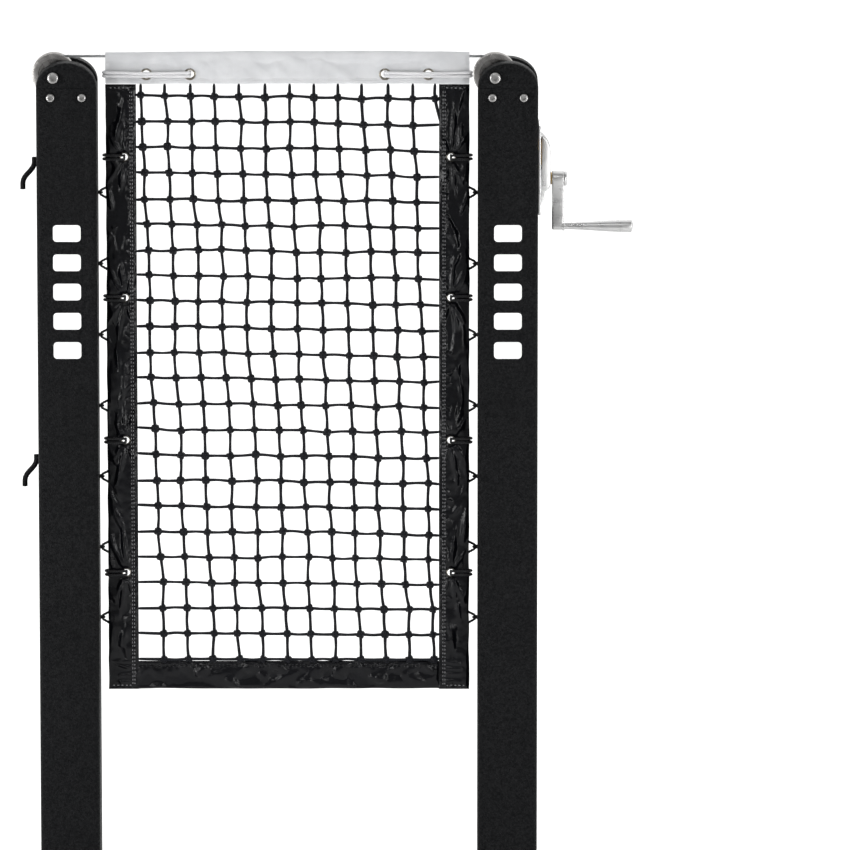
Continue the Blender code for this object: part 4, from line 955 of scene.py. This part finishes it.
def crease_side_band(sheet, sign, inner_edge):
    """The strained creases round a side band's eyelets, and the slack ones between them and at its seam."""
    low, high, choose = sheet.low, sheet.high, sheet.random

    def crease(x, z, degrees, length, width, height):
        """A crease whose angle is measured from the direction away from the net."""
        angle = math.radians(degrees)
        sheet.add_crease((x, z), angle if sign > 0 else math.pi - angle, length, width, height)

    for hole_x, hole_z in sheet.holes:
        for degrees, length, width, height in EYELET_CREASES:
            degrees += choose.uniform(-7, 7)
            x = hole_x + sign * math.cos(math.radians(degrees)) * 0.007
            z = hole_z + math.sin(math.radians(degrees)) * 0.007
            length *= choose.uniform(0.7, 1.2)
            crease(x, z, degrees, length, width, height * choose.uniform(0.7, 1.1))
    slack_creases = 34
    for number in range(slack_creases):
        x = inner_edge + sign * choose.uniform(0.015, 0.044)
        z = low.z + 0.03 + (high.z - low.z - 0.09) * (number + choose.uniform(0, 1)) / slack_creases
        degrees = choose.choice((62, 74, 84, 97, 108)) + choose.uniform(-8, 8)
        height = choose.choice((-0.0026, 0.0032, 0.0042))
        crease(x, z, degrees, choose.uniform(0.032, 0.080), choose.uniform(0.0040, 0.0070), height)
    for _ in range(40):
        x = inner_edge + sign * choose.uniform(0.002, 0.012)
        z = choose.uniform(low.z + 0.01, high.z - 0.01)
        degrees, length = choose.uniform(-50, 50), choose.uniform(0.008, 0.018)
        crease(x, z, degrees, length, 0.0022, choose.uniform(0.0014, 0.0028))
    for number in range(4):
        x = inner_edge + sign * choose.uniform(0.007, 0.013)
        z = low.z + 0.014 + 0.011 * number
        crease(x, z, choose.uniform(-8, 18), choose.uniform(0.026, 0.038), 0.0034, 0.0030)


def build_side_band(side):
    """One end's strip: four eyelets with creases round them, puckered seams and a sewn hem."""
    sign, seed = SIDES[side], {"left": 31, "right": 57}[side]
    low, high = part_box(f"{side}_side_band")
    inner_edge, outer_edge = (sign * pick(abs(low.x), abs(high.x)) for pick in (min, max))
    foot_seam, top_seam = low.z + 0.0065, high.z - 0.006
    sheet = BandSheet(low, high, seed, [(sign * BAND_EYELET_X, z) for z in BAND_EYELETS_Z])
    sheet.add_noise()
    sheet.add_seam(np.abs(sheet.x - inner_edge) - 0.0085)
    sheet.add_seam(sheet.z - foot_seam)
    sheet.add_seam(top_seam - sheet.z)
    crease_side_band(sheet, sign, inner_edge)
    wave = 0.0009 + 0.0012 * smooth_noise(sheet.z * 0, sheet.z, 1.0, 0.035, seed + 5)
    sheet.x = sheet.x - sign * wave * np.clip(1 - np.abs(sheet.x - outer_edge) / 0.014, 0, 1)
    sheet.flatten_near_holes()
    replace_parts(sheet.to_piece(f"{side}_side_band_vinyl"), f"{side}_side_band")
    stitches = Shape()
    for inset in (0.0068, 0.0102):
        x = inner_edge + sign * inset
        add_stitches(stitches, sheet, [(x, low.z + 0.008), (x, high.z - 0.008)])
    for z in (foot_seam, top_seam):
        add_stitches(stitches, sheet, [(inner_edge + sign * 0.012, z), (outer_edge - sign * 0.004, z)])
    # The thread is drawn light grey: painted glints where light catches the black stitches' puckers.
    stitches.to_piece(f"{side}_side_band_stitches", "band_thread_painted_glint", slot="black_rope")
    ring = [
        (EYELET_RING_OUTER, 0.0013),
        (EYELET_RING_OUTER - 0.0004, 0.0021),
        ((EYELET_RING_INNER + EYELET_RING_OUTER) / 2, 0.0026),
        (EYELET_RING_INNER + 0.0005, 0.0022),
        (EYELET_RING_INNER, 0.0016),
    ]
    for number, (x, z) in enumerate(sheet.holes, 1):
        turned(f"{side}_side_eyelet_{number}", mirrored(ring), "Y", (x, 0, z), "nickel", "frame", 40)


def build_bottom_band():
    """The strip along the foot, whose slack lies in long slanting folds."""
    low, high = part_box("bottom_band")
    low.x, high.x = (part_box(f"{side}_side_band")[end].x for side, end in (("left", 1), ("right", 0)))
    sheet = BandSheet(low, high, 83)
    sheet.add_noise()
    sheet.add_seam(high.z - sheet.z - 0.0075)
    choose = sheet.random
    folds = 30
    for number in range(folds):
        x = low.x + (high.x - low.x) * (number + choose.uniform(0, 1)) / folds
        z = choose.uniform(low.z + 0.004, high.z - 0.016)
        angle = math.radians(choose.choice((-35, -22, 24, 40, 58, 140)) + choose.uniform(-10, 10))
        height = choose.choice((-0.0028, 0.0044, 0.0062))
        length, width = choose.uniform(0.030, 0.065), choose.uniform(0.0055, 0.0100)
        sheet.add_crease((x, z), angle, length, width, height)
    wave = 0.0008 + 0.0012 * smooth_noise(sheet.x, sheet.z * 0, 0.06, 1.0, 91)
    sheet.z = sheet.z + wave * np.clip(1 - (sheet.z - low.z) / 0.012, 0, 1)
    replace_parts(sheet.to_piece("bottom_band_vinyl"), "bottom_band")
    stitches = Shape()
    for z in (high.z - 0.0062, high.z - 0.0090):
        add_stitches(stitches, sheet, [(low.x + 0.004, z), (high.x - 0.004, z)])
    stitches.to_piece("bottom_band_stitches", "black_rope")


# ---- Headband ----

BAND_SHEET = 0.0012
HEADBAND_CELL = 0.0026
HEADBAND_HALF_WIDTH = 0.0044
HEADBAND_HOLE = 0.0078
CROWN_HEIGHT = 0.0095  # from the cable's middle up to the fold
HEM_SEAM = 0.0072  # from the hem up to the middle of its two rows of stitches
HEADBAND_DENTS = (
    # degrees from the direction away from the net, length, depth
    (62, 0.038, 0.0030),
    (112, 0.034, 0.0024),
    (22, 0.055, 0.0022),
    (160, 0.050, 0.0024),
)


def headband_section(low, high):
    """The folded sheet's section from the front hem over the fold to the back hem, as (y, 0, z) points."""
    half, foot = HEADBAND_HALF_WIDTH, 0.0020
    crown = high.z - CROWN_HEIGHT
    front = [(foot, low.z), (foot + 0.0003, low.z + 0.006), (foot + 0.0009, low.z + 0.014)]
    front += [(half * 0.93, crown - 0.018), (half, crown - 0.008)]
    for step in range(9):
        angle = math.pi / 2 * step / 8
        front.append((half * math.cos(angle), crown + CROWN_HEIGHT * math.sin(angle)))
    points = [(-width, 0, height) for width, height in front]
    points += [(width, 0, height) for width, height in reversed(front[:-1])]
    return evenly(points, HEADBAND_CELL)


def dent_depth(x, z, eyelet):
    """How far the cloth is drawn in by the soft folds that run out from an eyelet."""
    depth = 0
    for degrees, length, deepest in HEADBAND_DENTS:
        direction = math.radians(degrees) if eyelet.x > 0 else math.pi - math.radians(degrees)
        along, across = from_start(x, z, (eyelet.x, eyelet.z), direction)
        share = np.clip(along / length, 0, 1)
        width = 0.0045 + 0.010 * share
        depth = depth + deepest * (np.sin(math.pi * share**0.7) * np.exp(-((across / width) ** 2)))
    return depth


def headband_surface(low, high, eyelets):
    """The folded sheet with its slack, dents and hem: a grid of x, y and z, and 1 in front or -1 behind."""
    section = headband_section(low, high)
    along = np.linspace(low.x, high.x, round((high.x - low.x) / HEADBAND_CELL) + 1)
    x = np.repeat(along[:, None], len(section), axis=1)
    y = np.repeat(section[None, :, 0], len(along), axis=0)
    z = np.repeat(section[None, :, 2], len(along), axis=0)
    front = np.where(y < 0, 1.0, -1.0)
    rise = (z - low.z) / (high.z - low.z)
    at_hem = np.clip(1 - rise / 0.15, 0, 1)
    from_end = np.minimum(x - low.x, high.x - x)
    inward = smooth_noise(x + 2 * front, z, 0.055, 0.028, 5) * 0.0070
    inward += smooth_noise(x + 3 * front + z * 0.9, z, 0.022, 0.045, 6) * 0.0026
    inward += smooth_noise(x + 5 * front, z, 0.010, 0.014, 7) * 0.0004
    for eyelet in eyelets:
        away = np.hypot(x - eyelet.x, z - eyelet.z)
        pressed = np.exp(-((np.maximum(away - 0.0105, 0) / 0.0045) ** 2))
        inward = (inward + dent_depth(x, z, eyelet)) * (1 - pressed) + 0.0004 * pressed
    loose = np.clip(rise / 0.25, 0.25, 1) * np.clip(from_end / 0.006, 0.3, 1)
    clear_of_cable = np.interp(rise, (0.60, 0.74), (0.0031, 0.0001))
    inward = np.minimum(np.clip(inward, -0.0036, 0.0031) * loose, clear_of_cable)
    thickness = np.abs(y)
    room = np.clip(thickness - inward, 0.0013 + 0.0004 * rise, 0.0080)
    y = -front * np.where(rise > 0.93, thickness, room)
    droop = np.interp(x, (low.x, -0.05, 0.1, high.x), (-0.0026, 0, 0, -0.0014))
    droop += smooth_noise(x, z * 0, 0.060, 1.0, 8) * 0.0009
    z = z + droop * np.clip((rise - 0.35) / 0.5, 0, 1)
    z = z + (smooth_noise(x + front, z * 0, 0.035, 1.0, 9) * 0.0005 + 0.0005) * at_hem
    above_seam = z - low.z - HEM_SEAM
    pucker = smooth_noise(x, z, 0.004, 0.006, 10) * np.exp(-((above_seam / 0.004) ** 2))
    y = y + front * (0.00035 * np.exp(-((above_seam / 0.0011) ** 2)) - 0.0004 * pucker)
    return x, y, z, front


def build_headband():
    """The white canvas band, folded over the cable, with its eyelets' holes and a stitched hem."""
    low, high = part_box("headband")
    eyelets = [middle_of(f"{side}_{place}_eyelet") for side in SIDES for place in ("inner", "outer")]
    x, y, z, front = headband_surface(low, high, eyelets)
    rows = x.shape[1]
    kept = cells_outside(x, z, [(eyelet.x, eyelet.z) for eyelet in eyelets], HEADBAND_HOLE)
    faces = []
    for column, row in zip(*np.nonzero(kept)):
        a, b = column * rows + row, (column + 1) * rows + row
        faces.append((a, b, b + 1, a + 1))
    grid = np.stack([x, y, z], axis=-1).reshape(-1, 3)
    piece = sheet_object("headband_canvas", grid, faces, closed=False)
    finer = piece.modifiers.new("finer", "SUBSURF")
    finer.levels = finer.render_levels = 1
    thicken = piece.modifiers.new("thicken", "SOLIDIFY")
    thicken.thickness = BAND_SHEET
    thicken.offset = -1
    applied(piece)
    dress(piece, "white_vinyl", smooth=math.radians(55))
    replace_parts(piece, "headband")
    stitches = Shape()
    for height in (0.0058, 0.0086):
        level = low.z + height
        for start in np.arange(low.x + 0.004, high.x - 0.006, 0.0036):
            if any(abs(start - hole.x) < 0.012 and abs(level - hole.z) < 0.011 for hole in eyelets):
                continue
            nearest = np.argmin(np.where(front > 0, np.hypot(x - start, z - level), 1).ravel())
            ends = ((start, level), (start + 0.0026, level))
            add_stitch(stitches, *ends, y.ravel()[nearest], 0.0002, 0.0003, 0.00035)
    stitches.to_piece("headband_stitches", "white_cord")


# ---- Metal parts ----

AXIS_GAP = 0.0002  # a turned solid's ends stop this far from its axis


def plate(name, loop, thickness, plane, centre, finish, body="frame", ease=0.0, slot=None):
    """A flat outline of (across, up) points with a thickness and eased edges, in the plane XZ or YZ."""
    bm = bmesh.new()
    face = bm.faces.new([bm.verts.new((across, up, -thickness / 2)) for across, up in loop])
    grown = bmesh.ops.extrude_face_region(bm, geom=[face])
    moved = [item for item in grown["geom"] if isinstance(item, bmesh.types.BMVert)]
    bmesh.ops.translate(bm, vec=(0, 0, thickness), verts=moved)
    turn = {
        "XZ": Matrix(((1, 0, 0, 0), (0, 0, -1, 0), (0, 1, 0, 0), (0, 0, 0, 1))),
        "YZ": Matrix(((0, 0, 1, 0), (1, 0, 0, 0), (0, 1, 0, 0), (0, 0, 0, 1))),
    }[plane]
    bmesh.ops.transform(bm, matrix=Matrix.Translation(centre) @ turn, verts=bm.verts)
    bmesh.ops.recalc_face_normals(bm, faces=bm.faces)
    piece = from_bmesh(name, bm)
    if ease:
        eased(piece, ease, 5, math.radians(50))
    return dress(piece, finish, body, slot)


def cut_out(piece, cutter):
    """Cuts one piece out of another and drops the cutter."""
    cut = piece.modifiers.new("cut", "BOOLEAN")
    cut.operation, cut.solver, cut.object = "DIFFERENCE", "EXACT", cutter
    applied(piece)
    bpy.data.objects.remove(cutter)


def circle(radius, steps, start=0.0, end=math.tau):
    """Points round a circle, or round an arc with both of its ends."""
    closed = abs(end - start) > math.tau - 0.001
    angles = [start + (end - start) * step / steps for step in range(steps + (not closed))]
    return [(radius * math.cos(angle), radius * math.sin(angle)) for angle in angles]


def build_socket_bolt(node):
    """A button-head bolt with a domed head and a hexagon socket."""
    low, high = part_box(node)
    axis_x, axis_z = (low.x + high.x) / 2, (low.z + high.z) / 2
    radius = (high.x - low.x) / 2
    head, shank = (0.0055, 0.0060) if "axle" in node else (0.0040, 0.0040)
    length = high.y - low.y - head
    profile = [(AXIS_GAP, length), (shank * 0.8, length), (shank, length - shank * 0.2), (shank, 0)]
    profile += [(radius - 0.0002, 0), (radius, -0.0003)]
    for step in range(7):
        turn = math.pi / 2 * step / 6
        profile.append((radius * (0.60 + 0.40 * math.cos(turn)), -head * (0.35 + 0.65 * math.sin(turn))))
    profile.append((AXIS_GAP, -head))
    bolt = turned(node + "_surface", profile, "Y", (axis_x, low.y + head, axis_z), "stainless", "frame", 48)
    socket = circle(radius * 0.42, 6)
    cut_out(bolt, plate("socket", socket, head * 1.3, "XZ", (axis_x, low.y, axis_z), "stainless"))
    dress(bolt, "stainless")
    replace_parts(bolt, node)


def build_sheaves():
    """The two polished cable sheaves on their bushes."""
    for side in SIDES:
        low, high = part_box(f"{side}_sheave")
        centre = (low + high) / 2
        radius, half = (high.x - low.x) / 2, (high.y - low.y) / 2
        outer = [
            (0.0083, half - 0.0004),
            (0.0087, half),
            (0.0150, half),
            (0.0156, half - 0.0010),
            (0.0250, half - 0.0010),
            (0.0256, half),
            (radius - 0.0012, half),
            (radius - 0.0004, half - 0.0004),
            (radius, half - 0.0012),
            (radius - 0.0003, 0.0076),
            (0.0290, 0.0022),
            (0.0276, 0.0012),
            (0.0272, 0.0),
        ]
        profile = outer + [(r, -h) for r, h in reversed(outer[:-1])]
        body = f"{side}_sheave"
        sheave = turned(f"{side}_sheave_surface", profile, "Y", centre, "sheave_steel", body, 96, "polished")
        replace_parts(sheave, f"{side}_sheave")
        low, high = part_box(f"{side}_sheave_bush")
        half, edge, bore, outside = (high.y - low.y) / 2, 0.0003, 0.0063, 0.0080
        bush = [(bore, half - edge), (bore + edge, half), (outside - edge, half), (outside, half - edge)]
        piece = turned(f"{side}_sheave_bush_surface", mirrored(bush), "Y", centre, "bronze", body, 64)
        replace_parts(piece, f"{side}_sheave_bush")


def build_headband_eyelets():
    """Rolled eyelets in the headband."""
    for side in SIDES:
        for place in ("inner", "outer"):
            node = f"{side}_{place}_eyelet"
            half = [(0.0065, 0.0030), (0.0068, 0.0040), (0.0080, 0.0045), (0.0094, 0.0043)]
            half += [(0.0100, 0.0037), (0.0094, 0.0034), (0.0079, 0.0034)]
            piece = turned(node + "_surface", mirrored(half), "Y", middle_of(node), "nickel", "frame", 56)
            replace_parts(piece, node)


CRANK_HUB_RADIUS = 0.0135
CRANK_ARM_HALF = 0.0068  # half of the arm's width at the grip
CRANK_THICKNESS = 0.020
CRANK_THROW = 0.080
CRANK_Y = 0.020
GRIP_NECK = 0.0060
GRIP_END = 0.0110


def build_crank_arm(hub):
    """The crank's arm, which tapers from a round hub to a round end."""
    flank = []
    for step in range(1, 17):
        share = step / 16
        half = CRANK_ARM_HALF + (CRANK_HUB_RADIUS - CRANK_ARM_HALF) * (1 - share) ** 3
        flank.append((half, -CRANK_THROW * share))
    loop = circle(CRANK_HUB_RADIUS, 32, 0, math.pi)
    loop += [(-half, up) for half, up in flank]
    loop += [(a, b - CRANK_THROW) for a, b in circle(CRANK_ARM_HALF, 20, math.pi, math.tau)[1:-1]]
    loop += list(reversed(flank))
    return plate("crank_arm_surface", loop, CRANK_THICKNESS, "YZ", hub, "polished", "crank", 0.0025)


def build_crank_grip(foot, length):
    """The turned grip, which flares from a narrow neck to a domed end."""
    dome = GRIP_END * 0.35
    profile = [(AXIS_GAP, length)]
    for step in range(1, 11):
        turn = math.pi / 2 * step / 10
        profile.append((GRIP_END * math.sin(turn), length - dome + dome * math.cos(turn)))
    for step in range(1, 25):
        share = 1 - step / 24
        flare = (GRIP_END - GRIP_NECK) * share**2 * (3 - 2 * share)
        profile.append((GRIP_NECK + flare, (length - dome) * share))
    profile += [(GRIP_NECK + 0.0012, 0.0008), (GRIP_NECK + 0.0022, 0.0)]
    profile += [(GRIP_NECK + 0.0022, -0.003), (AXIS_GAP, -0.003)]
    return turned("crank_grip_surface", profile, "X", foot, "polished", "crank", 64)


def build_crank():
    """The polished crank with the slotted screw that holds it."""
    low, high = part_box("crank_handle")
    hub = Vector((low.x + CRANK_THICKNESS / 2, CRANK_Y, high.z - CRANK_HUB_RADIUS))
    arm = build_crank_arm(hub)
    face = low.x + CRANK_THICKNESS
    grip = build_crank_grip((face, hub.y, hub.z - CRANK_THROW), high.x - face)
    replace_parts(arm, "crank_handle")
    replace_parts(grip, "crank_handle")
    low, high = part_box("crank_screw")
    head, height, shank = (high.z - low.z) / 2, 0.0047, 0.0045
    seat = Vector((high.x - height, hub.y, hub.z))
    foot = low.x - seat.x
    profile = [(AXIS_GAP, height), (head * 0.55, height), (head * 0.86, height * 0.93)]
    profile += [(head * 0.97, height * 0.72), (head, height * 0.5), (head, 0.0003), (head - 0.0003, 0)]
    profile += [(shank, 0), (shank, foot), (AXIS_GAP, foot)]
    screw = turned("crank_screw_surface", profile, "X", seat, "polished", "crank", 72)
    slot = [(-2 * head, -0.001), (2 * head, -0.001), (2 * head, 0.001), (-2 * head, 0.001)]
    cut_out(screw, plate("slot", slot, 0.004, "YZ", seat + Vector((height + 0.0007, 0, 0)), "polished"))
    dress(screw, "polished", "crank")
    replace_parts(screw, "crank_screw")


def build_drum():
    """The brass cable drum."""
    low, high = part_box("cable_drum")
    axis = Vector(((low.x + high.x) / 2, 0, (low.z + high.z) / 2))
    profile = [
        (0.0130, high.y),
        (0.0130, -0.0255),
        (0.0135, -0.0260),
        (0.0192, -0.0260),
        (0.0198, -0.0264),
        (0.0200, -0.0275),
        (0.0198, -0.0286),
        (0.0192, -0.0290),
        (0.0095, -0.0290),
        (0.0090, -0.0294),
        (0.0090, low.y + 0.0003),
        (0.0087, low.y),
        (0.0056, low.y),
        (0.0053, low.y + 0.0003),
        (0.0053, high.y),
    ]
    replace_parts(turned("cable_drum_surface", profile, "Y", axis, "brass", "drum", 96), "cable_drum")


def build_welds():
    """Weld beads that hold the cable hooks, and the lacing eyes' legs, to the posts."""
    jitter = random.Random(77)
    shape = Shape()
    for level in ("upper", "lower"):
        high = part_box(f"left_cable_hook_{level}")[1]
        for y in (-0.0040, 0.0040):
            path = [(high.x - 0.0010, y, high.z - 0.001 - 0.0007 * step) for step in range(18)]
            ripple = [0.0014 + 0.0003 * math.sin(step * 2.1) for step in range(18)]
            ripple = [radius + jitter.uniform(-0.0001, 0.0001) for radius in ripple]
            ripple[0] = ripple[-1] = 0.0005
            add_tube(shape, path, ripple, 8)
    for side, sign in SIDES.items():
        for number in range(1, 8):
            low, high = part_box(f"{side}_lacing_eye_{number}")
            root = sign * (max(abs(low.x), abs(high.x)) - 0.0006)
            for y in (low.y + 0.0015, high.y - 0.0015):
                loop = [(root, y + a, (low.z + high.z) / 2 + b) for a, b in circle(0.0019, 10)]
                add_tube(shape, loop + loop[:1], 0.0008 + jitter.uniform(-0.0001, 0.0001), 6)
    shape.to_piece("weld_beads", "powder_coat")


REFINED = [
    # node, finish, width of the eased edge
    *[(f"{side}_post_tube", "powder_coat", 0.0007) for side in SIDES],
    *[(f"{side}_post_head", "powder_coat", 0.0009) for side in SIDES],
    *[(f"{side}_foot_plug", "black_plastic", 0.0006) for side in SIDES],
    *[(f"{side}_axle_nut", "stainless", 0.0005) for side in SIDES],
    *[(f"{side}_lacing_eye_{number}", "powder_coat", 0.0) for side in SIDES for number in range(1, 8)],
    ("left_cable_hook_upper", "powder_coat", 0.0004),
    ("left_cable_hook_lower", "powder_coat", 0.0004),
    ("winder_housing", "polished", 0.0006),
    *[(f"winder_screw_{number}", "stainless", 0.0001) for number in range(1, 5)],
    ("drum_shaft", "stainless", 0.0003),
    ("worm_bush", "bronze", 0.0003),
    ("worm_wheel", "bronze", 0.0001),
    ("worm_shaft", "stainless", 0.0),
]


PRINT_HALF_WIDTH = 0.023
PRINT_HALF_HEIGHT = 0.014
PRINT_CORNER = 0.006
PRINT_TOP = 0.785  # height of the top bar's middle
PRINT_PITCH = 0.0492
PRINT_THICKNESS = 0.0003


def build_prints():
    """Five plain white bars down each post's front."""
    corner_x, corner_z = PRINT_HALF_WIDTH - PRINT_CORNER, PRINT_HALF_HEIGHT - PRINT_CORNER
    loop = []
    for turn, (across, up) in enumerate(((1, 1), (-1, 1), (-1, -1), (1, -1))):
        for a, b in circle(PRINT_CORNER, 6, turn * math.pi / 2, (turn + 1) * math.pi / 2):
            loop.append((across * corner_x + a, up * corner_z + b))
    for side in SIDES:
        low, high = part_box(f"{side}_post_tube")
        for number in range(5):
            centre = ((low.x + high.x) / 2, low.y - 0.00005, PRINT_TOP - PRINT_PITCH * number)
            name = f"{side}_print_{number + 1}"
            plate(name, loop, PRINT_THICKNESS, "XZ", centre, "white_print", slot="white_vinyl")


# ---- Stage ----

FLOOR_HALF = 90
WORLD_STRENGTH = 0.42
LAMPS = (
    # name, place, width and height, power
    ("ceiling_softbox", (0, 7.2, 3.2), (24, 15), 1400),
    ("left_softbox", (-2.7, -1.05, 0.75), (0.50, 1.7), 40),
    ("right_softbox", (2.7, -1.05, 0.75), (0.36, 1.7), 30),
    ("left_strip", (-1.75, -1.9, 0.7), (0.10, 1.7), 20),
    ("right_strip", (1.5, -2.1, 0.7), (0.09, 1.7), 16),
    ("front_softbox", (-0.3, -2.4, 2.6), (1.6, 0.10), 10),
    ("back_softbox", (0.4, 3.4, 2.2), (2.5, 0.3), 15),
)
LAMP_AIM = Vector((0, 0, 0.45))


def build_stage():
    """A plain pale floor under a wide ceiling lamp that points down, with soft lamps round the set."""
    floor_z = CAD_BOX[0].z - 0.0005
    corners = [(x * FLOOR_HALF, y * FLOOR_HALF, floor_z) for x, y in ((-1, -1), (1, -1), (1, 1), (-1, 1))]
    mesh = bpy.data.meshes.new("floor")
    mesh.from_pydata(corners, [], [(0, 1, 2, 3)])
    floor = placed("floor", mesh)
    material, tree, shader = shader_nodes("floor", (0.90, 0.90, 0.90), 0.8, specular=0.1)
    patches = noise_value(tree, coordinates(tree), 3, 3.0)
    tint(tree, shader, spread(tree, patches, 0, 1), (0.89, 0.89, 0.89), (0.91, 0.91, 0.91))
    floor.data.materials.append(material)
    world = bpy.data.worlds.new("studio")
    bpy.context.scene.world = world
    world.use_nodes = True
    background = world.node_tree.nodes["Background"]
    background.inputs["Color"].default_value = (1, 1, 1, 1)
    background.inputs["Strength"].default_value = WORLD_STRENGTH
    for name, place, size, power in LAMPS:
        data = bpy.data.lights.new(name, "AREA")
        data.shape, data.size, data.size_y, data.energy = "RECTANGLE", *size, power
        lamp = placed(name, data)
        lamp.location = place
        if name != "ceiling_softbox":
            lamp.rotation_euler = (LAMP_AIM - lamp.location).to_track_quat("-Z", "Y").to_euler()
        lamp.visible_camera = False
    bpy.context.scene.view_settings.view_transform = "Standard"


def build_camera():
    """The photograph's view: far off, square on and ten degrees above the level."""
    distance, rise = 16.0, math.radians(10)
    metres_across = 1.4195
    aim = Vector((0.2283, 0, 0.4536))
    data = bpy.data.cameras.new("camera")
    data.sensor_width = 36
    data.lens = data.sensor_width * distance / metres_across
    data.clip_end = 400
    camera = placed("camera", data)
    back = Vector((0, -math.cos(rise), math.sin(rise)))
    camera.location = aim + back * distance
    camera.rotation_euler = (-back).to_track_quat("-Z", "Y").to_euler()
    bpy.context.scene.camera = camera


# ---- The whole set ----

build_net_twine()
build_cable()
build_headband()
build_headband_eyelets()
for side in SIDES:
    build_end_cord(side)
    build_lacing_rope(side)
    build_side_band(side)
    for bolt in ("axle_bolt", "head_bolt_left", "head_bolt_right"):
        build_socket_bolt(f"{side}_{bolt}")
build_bottom_band()
build_sheaves()
build_crank()
build_drum()
build_welds()
for node, finish, ease in REFINED:
    refined(node, finish, ease)
build_prints()
build_stage()
build_camera()
